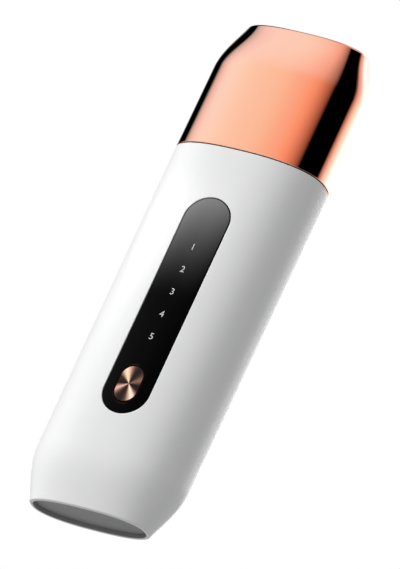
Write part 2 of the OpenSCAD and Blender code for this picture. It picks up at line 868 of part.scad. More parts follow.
// Tapered metal horn that carries the vibration from the rings to the blade
module horn() {
  neck_r = tip_d / 2;
  taper_end_z = tip_top_z - tip_len;
  curve = [
    for (i = [0:10])
      let (t = i / 10) [neck_r + (horn_r - neck_r) * pow(1 - t, 1.8), mix(horn_taper_z, taper_end_z, t)]
  ];
  profile = concat(
    [[0, horn_z], [horn_r, horn_z], [horn_r, flange_z], [flange_r, flange_z],
     [flange_r, flange_z + flange_t], [horn_r, flange_z + flange_t]],
    curve, [[neck_r, tip_top_z - 0.4], [neck_r - 0.4, tip_top_z], [0, tip_top_z]]
  );
  color([0.8, 0.8, 0.82]) difference() {
    rotate_extrude() polygon(profile);
    block(
      [-body_w, -blade_t / 2 - pin_fit, tang_z - 0.1],
      [body_w, blade_t / 2 + pin_fit, tip_top_z + cut]
    );
    peg(pin_r + pin_fit, -body_d, body_d, 0, pin_z);
    rod(bolt_d / 2 + pin_fit, horn_z - cut, horn_z + bolt_grip + 0.5);
  }
}

// Height of a piezo ring's lower face, counted from the back mass
function ring_z(i) = back_top_z + washer_t + i * (piezo_t + washer_t);

module piezo_rings() {
  color([0.85, 0.83, 0.75]) for (i = [0:piezo_count - 1]) difference() {
    rod(piezo_d / 2, ring_z(i), ring_z(i) + piezo_t);
    rod(bolt_d / 2 + 0.6, ring_z(i) - cut, ring_z(i) + piezo_t + cut);
  }
}

// Brass discs between the rings, each with a solder tab to the front
module contact_washers() {
  color("gold") for (i = [0:piezo_count]) {
    z = ring_z(i) - washer_t;
    difference() {
      union() {
        rod(piezo_d / 2 - 0.2, z, z + washer_t);
        block(
          [(i - 1) * tab_pitch - tab_w / 2, -piezo_d / 2 - tab_out, z],
          [(i - 1) * tab_pitch + tab_w / 2, -piezo_d / 2 + 2, z + washer_t]
        );
      }
      rod(bolt_d / 2 + 0.4, z - cut, z + cut);
    }
  }
}

module back_mass() {
  color([0.5, 0.5, 0.52]) difference() {
    rod(horn_r, back_z, back_top_z);
    rod(bolt_d / 2 + 2 * pin_fit, back_z - cut, back_top_z + cut);
  }
}

module clamp_bolt() {
  color([0.35, 0.35, 0.37]) {
    difference() {
      rod(bolt_head_r, bolt_head_z, back_z);
      translate([0, 0, bolt_head_z - cut]) cylinder(r=bolt_d * 0.4, h=1.4 + cut, $fn=6);
    }
    rod(bolt_d / 2, back_z, horn_z + bolt_grip);
  }
}

// Silicone ring with flats where it is squeezed, between two radii
module soft_ring(r0, r1, z, h) {
  e = min(r1 - r0, h) * 0.25;
  rotate_extrude() polygon([
    [r0, z + e], [r0 + e, z], [r1 - e, z], [r1, z + e],
    [r1, z + h - e], [r1 - e, z + h], [r0 + e, z + h], [r0, z + h - e]
  ]);
}

// Soft rings that keep the vibration out of the shell
module isolation_rings() {
  color([0.25, 0.25, 0.27]) {
    soft_ring(upper_bore_r - 0.4, bore_r - 0.04, flange_z + flange_t, iso_t);
    soft_ring(head_room_r, cradle_r - 0.02, back_z - pad_t, pad_t);
    soft_ring(horn_r + 0.02, cradle_r - 0.02, back_z + 2.2, 1.6);
    soft_ring(horn_r + 0.02, cradle_r - 0.02, back_z + back_len - 3.8, 1.6);
  }
}

// Two wires from the washers' tabs, down past the soft rings, to the board's back
module transducer_leads() {
  tab_y = -piezo_d / 2 - tab_out + 0.3;
  end_y = board_back_y + lead_r;
  turn_z = back_top_z - 1.6;
  color("blue") for (s = [-1, 1]) {
    tab_x = s * tab_pitch;
    x = s * lead_x;
    z = s < 0 ? back_top_z : ring_z(piezo_count) - washer_t;
    wire(
      concat(
        [[tab_x, tab_y, z]],
        bow([tab_x, tab_y, back_top_z - lead_r], [tab_x, tab_y - lead_r, turn_z], [x, lead_y, turn_z], 4),
        bow(
          [x, lead_y, cradle_z + lead_start],
          [x, lead_y, board_top_z + lead_r],
          [x, end_y, board_top_z + lead_r / 2]
        ),
        [[x, end_y, board_top_z - post_inset]]
      ), lead_r
    );
  }
}

module charge_board() {
  color([0.1, 0.4, 0.2]) block(
    [-charge_board_w / 2, web_back_y + 0.3, charge_board_z],
    [charge_board_w / 2, charge_board_end_y, charge_board_z + board_t]
  );
}

// Metal shell of the charging port, open towards the back
module charge_socket() {
  color("silver") difference() {
    upright(port_back_y, port_mouth_y, z=port_z) stadium(port_w, port_h);
    upright(port_back_y + port_end_t, port_mouth_y + cut, z=port_z)
      stadium(port_w - 2 * port_skin, port_h - 2 * port_skin);
  }
}

module socket_tongue() {
  color([0.1, 0.1, 0.1]) upright(port_back_y + port_end_t, port_mouth_y - tongue_inset, z=port_z)
    square([port_w - 2.25, tongue_t], center=true);
}

// Dark insert that lines the port's hole, with a flange inside the shell
module socket_frame() {
  w = port_w + 2 * port_frame_w;
  h = port_h + 2 * port_frame_w;
  inner_y = section_depth(port_z) - shell_wall - 0.35;
  color([0.15, 0.15, 0.16]) difference() {
    union() {
      upright(inner_y - 0.1, port_face_y, z=port_z) stadium(w, h);
      upright(inner_y - port_flange_t, inner_y, z=port_z)
        stadium(w + 2 * port_flange_w, h + 2 * port_flange_w);
    }
    upright(0, body_d, z=port_z) stadium(port_w + 2 * pin_fit, port_h + 2 * pin_fit);
  }
}

// Four wires from the port's board, through the web's lower window, to the main board
module charge_leads() {
  y = mix(web_back_y, port_back_y, 0.5);
  z0 = charge_board_z + board_t;
  z1 = board_z + 1.4;
  color("orange") for (i = [0:3]) {
    x = -4.5 + 3 * i;
    wire(
      concat(
        [[x, y, z0]],
        bow([x, y, z0 + lead_start], [x, y, z1], [x, board_back_y + lead_start, z1]),
        [[x, board_back_y, z1]]
      ), lead_r
    );
  }
}

// Grey plate that closes the foot, with a plug and two snap hooks
module foot_plate() {
  hook_x = foot_inner[0] - 0.2;
  color([0.45, 0.45, 0.46]) {
    plug(inset(foot_open, seat_fit), foot_plate_z, foot_seal_z);
    difference() {
      plug(inset(foot_inner, seat_fit), foot_seal_z, floor_z + hook_h);
      plug(inset(foot_inner, seat_fit + foot_wall), foot_seal_z, floor_z + hook_h + cut);
    }
    for (s = [-1, 1])
      block(
        [s * hook_x - hook_out, -hook_w / 2, floor_z + pin_fit],
        [s * hook_x + hook_out, hook_w / 2, floor_z + hook_h]
      );
  }
}

module foot_seal() {
  color([0.3, 0.3, 0.32]) difference() {
    plug(inset(foot_open, seat_fit), foot_seal_z, foot_flange_z);
    plug(inset(foot_inner, seat_fit), foot_seal_z - cut, foot_flange_z + cut);
  }
}

// Mirror-finished cap with a rounded top edge, hollow for the blade
module cap() {
  low = joint_z + cap_gap;
  shoulder_z = top_z - cap_shoulder_h;
  // Rounded top edge, as a quarter circle from the side to the top
  edge = [
    for (a = [30, 60, 90])
      let (z = top_z - cap_edge_r * (1 - sin(a)))
      [inset(cap_section(z), cap_edge_r * (1 - cos(a))), z]
  ];
  outer = concat(
    [[cap_section(low), low]],
    [for (z = levels(shoulder_z, top_z - cap_edge_r, 9)) [cap_section(z), z]],
    edge
  );
  inner_top = top_z - cap_top_t;
  inner = concat(
    [[inset(cap_section(low - cut), cap_wall), low - cut]],
    [for (z = levels(shoulder_z, inner_top, 8)) [inset(cap_section(z), cap_wall), z]]
  );
  color([0.95, 0.68, 0.52]) difference() {
    loft(outer);
    loft(inner);
  }
}

housing();
panel_lens();
panel_adhesive();
key_ring();
power_key();
key_carrier();
switch_body();
switch_plunger();
light_baffle();
mode_leds();
main_board();
board_screws();
controller_chip();
power_chips();
drive_transformer();
transformer_core();
board_capacitors();
chassis();
chassis_screws();
battery();
battery_tape();
battery_leads();
neck();
neck_seal();
blade();
blade_seal();
blade_pin();
horn();
piezo_rings();
contact_washers();
back_mass();
clamp_bolt();
isolation_rings();
transducer_leads();
charge_board();
charge_socket();
socket_tongue();
socket_frame();
charge_leads();
foot_plate();
foot_seal();
cap();
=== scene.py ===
"""Handheld ultrasonic facial device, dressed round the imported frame.

Sizes in the classes are millimetres and meshes are metres. +Z runs from the foot to the cap, the control
panel faces -Y, and the origin is the centre of the foot's flat rim.
"""

import sys

import logging
from dataclasses import dataclass, field
from enum import Enum
from functools import lru_cache
from typing import Any, Mapping, Sequence, Union

import bpy
import numpy as np
from mathutils import Matrix, Vector


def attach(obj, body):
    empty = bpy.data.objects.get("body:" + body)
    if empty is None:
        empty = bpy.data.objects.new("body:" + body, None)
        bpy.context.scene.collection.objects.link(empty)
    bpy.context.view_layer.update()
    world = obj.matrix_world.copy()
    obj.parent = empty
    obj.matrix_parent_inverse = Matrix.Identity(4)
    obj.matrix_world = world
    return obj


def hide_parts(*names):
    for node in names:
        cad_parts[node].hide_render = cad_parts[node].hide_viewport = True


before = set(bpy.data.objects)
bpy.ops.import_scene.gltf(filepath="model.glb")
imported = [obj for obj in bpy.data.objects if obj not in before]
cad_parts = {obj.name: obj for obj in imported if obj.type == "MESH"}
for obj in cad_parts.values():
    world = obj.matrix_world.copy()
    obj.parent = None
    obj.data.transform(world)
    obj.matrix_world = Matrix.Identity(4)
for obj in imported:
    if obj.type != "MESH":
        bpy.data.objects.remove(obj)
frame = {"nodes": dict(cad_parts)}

log = logging.getLogger("facial_device")

Array = np.ndarray
Colour = tuple[float, float, float]
Row = tuple[float, float, float]
Stops = tuple[tuple[float, Colour], ...]

MM = 0.001
# Distance in millimetres of the points that hold a face flat beside a rounding
HOLD = 0.02
# Distance in metres within which points are one point
MERGE = 1e-7
# Smallest divisor
TINY = 1e-9


# Shapes


def mix(a: Any, b: Any, share: Any) -> Any:
    """Value a share of the way from a to b."""
    return a + (b - a) * share


def ease(share: Array, cut: float) -> Array:
    """Rise from 0 to 1 along the first part of a half cosine wave.

    In words: one minus the cosine of the share of the cut half wave, over its value at the end.

    Args:
        share: position from 0 to 1.
        cut: share of the half wave that the rise runs through.

    Returns:
        The rise at each position.
    """
    return (1 - np.cos(np.pi * cut * share)) / (1 - np.cos(np.pi * cut))


def quarter(radius: float, steps: int = 5) -> tuple[Array, Array]:
    """Rounding between two square faces: a quarter circle with a point close by on each face.

    In words: at angle a the point lies radius times (1 - sine a) from one face and radius times
    (1 - cosine a) from the other. The close points keep the shading of the faces flat.

    Args:
        radius: radius of the rounding.
        steps: number of points on the circle.

    Returns:
        Distance from the face that it ends on, and from the face that it starts on.
    """
    a = np.linspace(0, np.pi / 2, steps)
    end = np.concatenate([[radius + HOLD], radius * (1 - np.sin(a)), [0.0]])
    start = np.concatenate([[0.0], radius * (1 - np.cos(a)), [radius + HOLD]])
    return end, start


def all_round(count: int) -> Array:
    """Evenly spread angles from 0 up to a full turn."""
    return np.linspace(0, 2 * np.pi, count, endpoint=False)


@dataclass(frozen=True)
class Oval:
    """Superellipse sections: half width, half depth and squareness, one of each per height."""

    half_w: Array
    half_d: Array
    square: Array

    def drawn_in(self, inset: Array) -> "Oval":
        """Sections smaller by an inset all round."""
        return Oval(self.half_w - inset, self.half_d - inset, self.square)

    def rings(self, angle: Array, z: Array) -> Array:
        """Points round every section.

        In words: r is (|cos t|^n + |sin t|^n)^(-1/n), x is half width times r cos t, y is half depth
        times r sin t.

        Args:
            angle: parameter t of each point of a ring.
            z: height of each ring.

        Returns:
            Points, shaped (rings, points, 3).
        """
        n = np.broadcast_to(np.asarray(self.square, float), np.shape(z))[:, None]
        a = np.broadcast_to(np.asarray(self.half_w, float), np.shape(z))[:, None]
        b = np.broadcast_to(np.asarray(self.half_d, float), np.shape(z))[:, None]
        c, s = np.cos(angle)[None], np.sin(angle)[None]
        r = (np.abs(c) ** n + np.abs(s) ** n) ** (-1 / n)
        return np.stack([a * r * c, b * r * s, np.broadcast_to(z[:, None], r.shape)], -1)

    def front(self, x: Array) -> Array:
        """Depth of the surface at x: half depth times (1 - |x / half width|^n)^(1/n)."""
        share = np.clip(1 - np.abs(x / self.half_w) ** self.square, 0, 1)
        return self.half_d * share ** (1 / self.square)


@dataclass(frozen=True)
class BodyForm:
    """Outer surface of the body, from its foot to the joint with the cap."""

    width: float = 49.0
    depth: float = 24.8
    square: float = 2.4
    joint_z: float = 117.0
    taper: float = 1.8 / 10000
    foot_w: float = 38.8
    foot_d: float = 15.0
    foot_h: float = 17.0
    foot_curve: float = 0.663

    def section(self, z: Array) -> Oval:
        """Section at each height: a steady taper, eased into the foot's oval over the lowest stretch.

        Args:
            z: heights.

        Returns:
            The sections.
        """
        f = 1 - self.taper * (self.joint_z - np.asarray(z, float))
        s = ease(np.clip((self.foot_h - z) / self.foot_h, 0, 1), self.foot_curve)
        return Oval(
            mix(self.width / 2 * f, self.foot_w / 2, s),
            mix(self.depth / 2 * f, self.foot_d / 2, s),
            np.full(np.shape(z), self.square),
        )

    def face(self, x: Array, z: Array, side: int = -1, inset: float = 0.0) -> Array:
        """Y of the surface at x and z, on the front (side -1) or the back (side 1)."""
        return side * self.section(z).drawn_in(inset).front(x)

    def spots(self, xz: Array, side: int = -1, inset: float = 0.0, sunk: float = 0.0) -> Array:
        """Points at x and z on the surface.

        Args:
            xz: places, shaped (points, 2).
            side: -1 in front, 1 behind.
            inset: wall by which the surface is drawn in.
            sunk: how far the points lie inwards of it, along Y.

        Returns:
            Points, shaped (points, 3).
        """
        x, z = xz.T
        return np.stack([x, self.face(x, z, side, inset) - side * sunk, z], -1)

    def half_depth(self, z: float) -> float:
        """Half depth at one height."""
        return self.section(np.array([z])).half_d[0]


@dataclass(frozen=True)
class CapForm:
    """Outer surface of the cap, from the joint to its flat top."""

    body: BodyForm = BodyForm()
    height: float = 43.0
    top_w: float = 39.0
    top_d: float = 16.8
    top_square: float = 2.7
    shoulder_h: float = 16.0
    curve: float = 0.7
    taper: float = 2.2 / 10000

    @property
    def top_z(self) -> float:
        """Height of the cap's top."""
        return self.body.joint_z + self.height

    def section(self, z: Array) -> Oval:
        """Section at each height: a steady taper, eased into the top's squarer oval at the shoulder.

        Args:
            z: heights.

        Returns:
            The sections.
        """
        z = np.asarray(z, float)
        f = 1 - self.taper * (z - self.body.joint_z)
        low = self.top_z - self.shoulder_h
        s = ease(np.clip((z - low) / self.shoulder_h, 0, 1), self.curve)
        return Oval(
            mix(self.body.width / 2 * f, self.top_w / 2, s),
            mix(self.body.depth / 2 * f, self.top_d / 2, s),
            mix(self.body.square, self.top_square, s),
        )


@dataclass(frozen=True)
class Track:
    """Round-ended outline in XZ as the points of its middle line and the directions out from them."""

    base: Array
    out: Array
    radius: float

    def at(self, offset: float) -> Array:
        """Points (x, z) of the outline moved outwards by an offset; minus the radius is the middle line."""
        return self.base + (self.radius + offset) * self.out

    def sweep(self, steps: Sequence[tuple[float, float]]) -> Array:
        """Rings along the outline: each step is an offset and a depth y.

        Args:
            steps: offset and y of each ring.

        Returns:
            Points, shaped (steps, points, 3).
        """
        return np.stack([np.insert(self.at(offset), 1, y, axis=1) for offset, y in steps])


@dataclass(frozen=True)
class Stadium:
    """Outline with round ends: width along X, height along Z, centred at z."""

    width: float
    height: float
    z: float = 0.0

    @property
    def radius(self) -> float:
        """Radius of the round ends."""
        return min(self.width, self.height) / 2

    @property
    def run(self) -> tuple[float, float]:
        """Half length of the middle line along X and along Z."""
        return self.width / 2 - self.radius, self.height / 2 - self.radius

    def nearest(self, x: Array, z: Array) -> Track:
        """Track through the points of the outline nearest to the given ones.

        Args:
            x: X of each place.
            z: Z of each place.

        Returns:
            The track, with a point for each place.
        """
        place = np.stack([x, z - self.z], -1)
        run = np.array(self.run)
        base = np.clip(place, -run, run)
        way = place - base
        base[:, 1] += self.z
        return Track(base, way / np.linalg.norm(way, axis=1, keepdims=True), self.radius)

    def grown(self, by: float) -> "Stadium":
        """Outline moved outwards all round."""
        return Stadium(self.width + 2 * by, self.height + 2 * by, self.z)

    def track(self, bend: int = 24, side: int = 12) -> Track:
        """Track of evenly spread points.

        In words: side points stand square to the middle line, and end points turn round its ends.

        Args:
            bend: points on each round end.
            side: points on each straight side.

        Returns:
            The closed track.
        """
        length = max(self.run)
        along = np.linspace(-length, length, side, endpoint=False)
        turn = np.linspace(0, np.pi, bend, endpoint=False)
        one, zero = np.ones(side), np.zeros(side)
        base = np.concatenate([
            np.stack([zero, along], -1), np.tile([0, length], (bend, 1)),
            np.stack([zero, -along], -1), np.tile([0, -length], (bend, 1)),
        ])
        out = np.concatenate([
            np.stack([one, zero], -1), np.stack([np.cos(turn), np.sin(turn)], -1),
            np.stack([-one, zero], -1), np.stack([-np.cos(turn), -np.sin(turn)], -1),
        ])
        if self.run[0] > self.run[1]:
            base, out = (np.stack([v[:, 1], -v[:, 0]], -1) for v in (base, out))
        return Track(base + [0, self.z], out, self.radius)

    def reach(self, way: Array) -> Array:
        """Distance from the centre to the outline along unit directions (x, z).

        In words: along the direction, the far crossing with the circle round the end of the middle line
        that lies on its side, or the straight side where that is nearer.

        Args:
            way: unit directions, shaped (points, 2).

        Returns:
            Distance for each direction.
        """
        long, across = (0, 1) if self.run[0] > self.run[1] else (1, 0)
        length = max(self.run)
        d, e = np.abs(way[:, long]), np.abs(way[:, across])
        end = d * length + np.sqrt(np.maximum((d * length) ** 2 - length**2 + self.radius**2, 0))
        flat = self.radius / np.maximum(e, TINY)
        return np.where(flat * d <= length, flat, end)


class Surface:
    """Points and faces gathered from patches, which become one closed mesh."""

    def __init__(self) -> None:
        """Starts with no points."""
        self.points: list[Array] = []
        self.quads: list[Array] = []
        self.slots: list[Array] = []
        self.count = 0

    def add(self, grid: Array) -> Array:
        """Adds points in any arrangement.

        Args:
            grid: points in millimetres, shaped (..., 3).

        Returns:
            The number of each point, in the same arrangement.
        """
        number = np.arange(self.count, self.count + grid[..., 0].size).reshape(grid.shape[:-1])
        self.points.append(grid.reshape(-1, 3))
        self.count += number.size
        return number

    def skin(
        self, index: Array, keep: Array | None = None, round_path: bool = False, slots: Sequence[int] = (),
    ) -> None:
        """Faces over a grid of point numbers whose rows are closed rings.

        Args:
            index: numbers, shaped (rings, points).
            keep: which faces to make, shaped (rings - 1, points), or all.
            round_path: also joins the last ring to the first.
            slots: material slot of the faces after each ring, or the first slot for all.
        """
        if round_path:
            index = np.concatenate([index, index[:1]])
        a, b = index[:-1], index[1:]
        quads = np.stack([a, np.roll(a, -1, 1), np.roll(b, -1, 1), b], -1)
        keep = np.ones(a.shape, bool) if keep is None else keep
        band = np.zeros(len(a), int)
        band[:len(slots)] = slots
        self.quads.append(quads[keep])
        self.slots.append(np.repeat(band[:, None], a.shape[1], 1)[keep])

    def rings(self, grid: Array, round_path: bool = False, slots: Sequence[int] = ()) -> Array:
        """Adds a grid of closed rings with its faces, and returns its numbers.

        Args:
            grid: points in millimetres, shaped (rings, points, 3).
            round_path: also joins the last ring to the first.
            slots: material slot of the faces after each ring, or the first slot for all.

        Returns:
            The number of each point.
        """
        index = self.add(grid)
        self.skin(index, round_path=round_path, slots=slots)
        return index

    def make(self, name: str, sharp: float | None = None) -> bpy.types.Object:
        """Builds the object: doubles are merged and faces turned outwards.

        Args:
            name: name of the piece.
            sharp: angle in degrees past which an edge is sharp, or none.

        Returns:
            The object at the origin, linked to the scene.
        """
        points = np.concatenate(self.points) * MM
        quads, slots = np.concatenate(self.quads), np.concatenate(self.slots)
        key = np.round(points / MERGE).astype(np.int64)
        _, first, number = np.unique(key, axis=0, return_index=True, return_inverse=True)
        quads = number.reshape(-1)[quads]
        points = points[first]
        same = quads == np.roll(quads, -1, 1)
        quads, slots = quads[same.sum(1) < 2], slots[same.sum(1) < 2]
        same = quads == np.roll(quads, -1, 1)
        sizes = 4 - same.sum(1)
        corners = quads[~same]
        mesh = bpy.data.meshes.new(name)
        mesh.vertices.add(len(points))
        mesh.vertices.foreach_set("co", points.astype(np.float32).ravel())
        mesh.loops.add(len(corners))
        mesh.loops.foreach_set("vertex_index", corners.astype(np.int32))
        mesh.polygons.add(len(sizes))
        mesh.polygons.foreach_set("loop_start", (np.cumsum(sizes) - sizes).astype(np.int32))
        mesh.polygons.foreach_set("use_smooth", np.ones(len(sizes), bool))
        mesh.polygons.foreach_set("material_index", slots.astype(np.int32))
        mesh.update(calc_edges=True)
        mesh.validate()
        turn_outwards(mesh)
        if sharp is not None:
            mesh.set_sharp_from_angle(angle=np.radians(sharp))
        return placed(name, mesh)


def placed(name: str, data: bpy.types.ID) -> bpy.types.Object:
    """Object at the origin, linked to the scene.

    Args:
        name: name of the object.
        data: its mesh, curve, lamp or camera.

    Returns:
        The object.
    """
    made = bpy.data.objects.new(name, data)
    bpy.context.scene.collection.objects.link(made)
    return made


def swept(
    name: str, grid: Array, sharp: float, round_path: bool = False, slots: Sequence[int] = (),
) -> bpy.types.Object:
    """Builds a piece from one grid of closed rings.

    Args:
        name: name of the piece.
        grid: points in millimetres, shaped (rings, points, 3).
        sharp: angle in degrees past which an edge is sharp.
        round_path: also joins the last ring to the first.
        slots: material slot of the faces after each ring, or the first slot for all.

    Returns:
        The object.
    """
    surface = Surface()
    surface.rings(grid, round_path, slots)
    return surface.make(name, sharp)


def turn_outwards(mesh: bpy.types.Mesh) -> None:
    """Flips every face when the mesh's volume, summed over its triangles, comes out negative.

    Args:
        mesh: the mesh, whose surface is closed.
    """
    mesh.calc_loop_triangles()
    corner = np.empty(len(mesh.loop_triangles) * 3, np.int32)
    mesh.loop_triangles.foreach_get("vertices", corner)
    co = np.empty(len(mesh.vertices) * 3, np.float32)
    mesh.vertices.foreach_get("co", co)
    a, b, c = np.moveaxis(co.reshape(-1, 3)[corner.reshape(-1, 3)].astype(float), 1, 0)
    if np.einsum("ij,ij->i", a, np.cross(b, c)).sum() < 0:
        mesh.flip_normals()


# Shader maths

Value = Union[float, "Term"]


class Term:
    """One output of a node, on which Python's arithmetic adds Math nodes."""

    def __init__(self, graph: "Graph", socket: bpy.types.NodeSocket) -> None:
        """Keeps the socket and the graph that it belongs to."""
        self.graph = graph
        self.socket = socket

    def __add__(self, other: Value) -> "Term":
        """Sum."""
        return self.graph.math("ADD", self, other)

    __radd__ = __add__

    def __sub__(self, other: Value) -> "Term":
        """Difference."""
        return self.graph.math("SUBTRACT", self, other)

    def __rsub__(self, other: Value) -> "Term":
        """Difference from a value."""
        return self.graph.math("SUBTRACT", other, self)

    def __mul__(self, other: Value) -> "Term":
        """Product."""
        return self.graph.math("MULTIPLY", self, other)

    __rmul__ = __mul__

    def __truediv__(self, other: Value) -> "Term":
        """Quotient."""
        return self.graph.math("DIVIDE", self, other)

    def __pow__(self, other: Value) -> "Term":
        """Power."""
        return self.graph.math("POWER", self, other)

    def __neg__(self) -> "Term":
        """Opposite value."""
        return self.graph.math("MULTIPLY", self, -1.0)


class Graph:
    """A node tree that is written as expressions."""

    def __init__(self, tree: bpy.types.NodeTree) -> None:
        """Empties the tree."""
        self.tree = tree
        tree.nodes.clear()

    def node(
        self, kind: str, settings: Mapping[str, Any] | None = None,
        sockets: Mapping[Union[str, int], Any] | None = None,
    ) -> bpy.types.Node:
        """Adds any node.

        Args:
            kind: the node's type.
            settings: its properties, set first; "stops" are a ramp's (position, colour) pairs.
            sockets: value or Term for each input, by name or number.

        Returns:
            The node.
        """
        made = self.tree.nodes.new(kind)
        for name, value in (settings or {}).items():
            if name == "stops":
                self._set_stops(made.color_ramp, value)
            else:
                setattr(made, name, value)
        for key, value in (sockets or {}).items():
            if isinstance(value, Term):
                self.tree.links.new(value.socket, made.inputs[key])
            else:
                made.inputs[key].default_value = value
        return made

    @staticmethod
    def _set_stops(ramp: bpy.types.ColorRamp, stops: Stops) -> None:
        """Gives a ramp its stops, in order.

        Args:
            ramp: the ramp.
            stops: position and colour of each stop.
        """
        while len(ramp.elements) > 1:
            ramp.elements.remove(ramp.elements[-1])
        for i, (position, colour) in enumerate(stops):
            stop = ramp.elements[0] if i == 0 else ramp.elements.new(position)
            stop.position = position
            stop.color = (*colour, 1.0)

    def term(
        self, kind: str, settings: Mapping[str, Any] | None = None,
        sockets: Mapping[Union[str, int], Any] | None = None, output: Union[str, int] = 0,
    ) -> Term:
        """Adds any node and returns one of its outputs."""
        return Term(self, self.node(kind, settings, sockets).outputs[output])

    def math(self, operation: str, *values: Value) -> Term:
        """Math node on one, two or three values."""
        return self.term("ShaderNodeMath", {"operation": operation}, dict(enumerate(values)))

    def limit(self, value: Value, low: float = 0.0, high: float = 1.0) -> Term:
        """Value held between two bounds."""
        return self.term("ShaderNodeClamp", None, {0: value, 1: low, 2: high})

    def slope(self, value: Value, low: float, high: float) -> Term:
        """Smooth step from 0 at low to 1 at high, which may lie either way round.

        Args:
            value: what the step depends on.
            low: value at which it is 0.
            high: value at which it is 1.

        Returns:
            The step.
        """
        settings = {"interpolation_type": "SMOOTHSTEP"}
        if low < high:
            return self.term("ShaderNodeMapRange", settings, {0: value, 1: low, 2: high})
        return 1 - self.term("ShaderNodeMapRange", settings, {0: value, 1: high, 2: low})

    def blend(self, share: Value, a: Any, b: Any) -> Term:
        """Colour mixed from a to b."""
        a, b = (v if isinstance(v, Term) else (*v, 1.0) for v in (a, b))
        return self.term("ShaderNodeMix", {"data_type": "RGBA"}, {0: share, 6: a, 7: b}, 2)

    def place(self) -> Term:
        """Position on the piece in millimetres."""
        own = self.term("ShaderNodeTexCoord", output="Object")
        return self.term("ShaderNodeVectorMath", {"operation": "SCALE"}, {0: own, "Scale": 1 / MM})

    def stretched(self, place: Term, scale: tuple[float, float, float]) -> Term:
        """Position multiplied axis by axis."""
        return self.term("ShaderNodeVectorMath", {"operation": "MULTIPLY"}, {0: place, 1: scale})

    def axes(self, place: Term) -> tuple[Term, Term, Term]:
        """X, Y and Z of a position."""
        split = self.node("ShaderNodeSeparateXYZ", None, {0: place})
        return tuple(Term(self, split.outputs[i]) for i in range(3))

    def dial(self, stops: Stops, turn: Term, full: float = 1.0) -> Term:
        """Colour by direction, from stops round a full turn.

        Args:
            stops: angle from -180 to 180 degrees and colour of each stop.
            turn: direction as 0 at -180 and 1 at 180 degrees.
            full: value that a colour's 1 stands for.

        Returns:
            The colour, as a share of the full value.
        """
        scaled = tuple(((angle + 180) / 360, tuple(c / full for c in colour)) for angle, colour in stops)
        return self.term("ShaderNodeValToRGB", {"stops": scaled}, {0: turn})

    def noise(self, place: Term, scale: float, detail: float = 3.0) -> Term:
        """Noise from 0 to 1, with features about 1 / scale millimetres across."""
        return self.term("ShaderNodeTexNoise", None, {"Vector": place, "Scale": scale, "Detail": detail})

    def smear(self, stretch: tuple[float, float, float], scale: float, band: tuple[float, float]) -> Term:
        """Wiping marks: stretched noise, cut to the part of it within a band."""
        return self.slope(self.noise(self.stretched(self.place(), stretch), scale, 4.0), *band)

    def bump(self, height: Value, depth: float) -> Term:
        """Normal bent by a height from 0 to 1 that stands for a depth in millimetres."""
        return self.term("ShaderNodeBump", None, {"Strength": 1.0, "Distance": depth * MM, "Height": height})

    def glow(self, colour: Any, strength: Value) -> Term:
        """Light of a colour, or of a Term."""
        colour = colour if isinstance(colour, Term) else (*colour, 1.0)
        return self.term("ShaderNodeEmission", None, {"Color": colour, "Strength": strength})

    def clear(self) -> Term:
        """Surface that lets light through."""
        return self.term("ShaderNodeBsdfTransparent")

    def output(self, surface: Term) -> None:
        """Makes a shader the surface of the material."""
        self.node("ShaderNodeOutputMaterial", None, {"Surface": surface})


def blank(name: str) -> tuple[bpy.types.Material, Graph]:
    """Material with an empty graph.

    Args:
        name: name of the material.

    Returns:
        The material and its graph.
    """
    material = bpy.data.materials.new(name)
    material.use_nodes = True
    return material, Graph(material.node_tree)


def shade(colour: Colour, share: float) -> Colour:
    """Colour multiplied by a share."""
    return tuple(c * share for c in colour)


@dataclass(frozen=True)
class Finish:
    """Base of the finishes: a colour and a roughness."""

    colour: Colour
    roughness: float

    def shader(self, graph: Graph) -> Mapping[str, Any]:
        """Works out the surface.

        Args:
            graph: graph that gets the nodes.

        Returns:
            Value or link of each of the surface's sockets.
        """
        raise NotImplementedError

    @lru_cache(maxsize=None)
    def make(self, name: str) -> bpy.types.Material:
        """Material with this finish, made once for each name.

        Args:
            name: name of the material.

        Returns:
            The material.
        """
        material, graph = blank(name)
        graph.output(graph.term("ShaderNodeBsdfPrincipled", None, self.shader(graph)))
        return material


@dataclass(frozen=True)
class Moulded(Finish):
    """Moulded plastic or rubber: fine grain, faint clouding and uneven gloss.

    The grain's relief is a depth in millimetres, and 0 where the mould was polished.
    """

    grain: float = 4.0
    relief: float = 0.004
    clouding: float = 0.03
    ior: float = 1.46
    coat: float = 0.0
    coat_roughness: float = 0.12
    cloud_scale: float = 0.08
    cloud_band: tuple[float, float] = (0.35, 0.65)
    gloss_spread: float = 0.08

    def shader(self, graph: Graph) -> Mapping[str, Any]:
        """Clouded colour, with the gloss and the relief of a fine grain.

        Args:
            graph: graph that gets the nodes.

        Returns:
            Value or link of each socket.
        """
        place = graph.place()
        cloud = graph.noise(place, self.cloud_scale, 2.0)
        grain = graph.noise(place, self.grain, 2.0)
        dark = shade(self.colour, 1 - self.clouding)
        relief = {"Normal": graph.bump(grain, self.relief)} if self.relief else {}
        return {
            "Base Color": graph.blend(graph.slope(cloud, *self.cloud_band), self.colour, dark),
            "Roughness": self.roughness + (grain - 0.5) * self.gloss_spread,
            "IOR": self.ior,
            "Coat Weight": self.coat,
            "Coat Roughness": self.coat_roughness,
            **relief,
        }


class Grain(Enum):
    """Way that a metal was worked, as how fine its marks are along X, Y and Z."""

    BRUSHED_X = (0.06, 1.0, 9.0)
    TURNED = (0.02, 0.02, 7.0)
    CAST = (3.0, 3.0, 3.0)


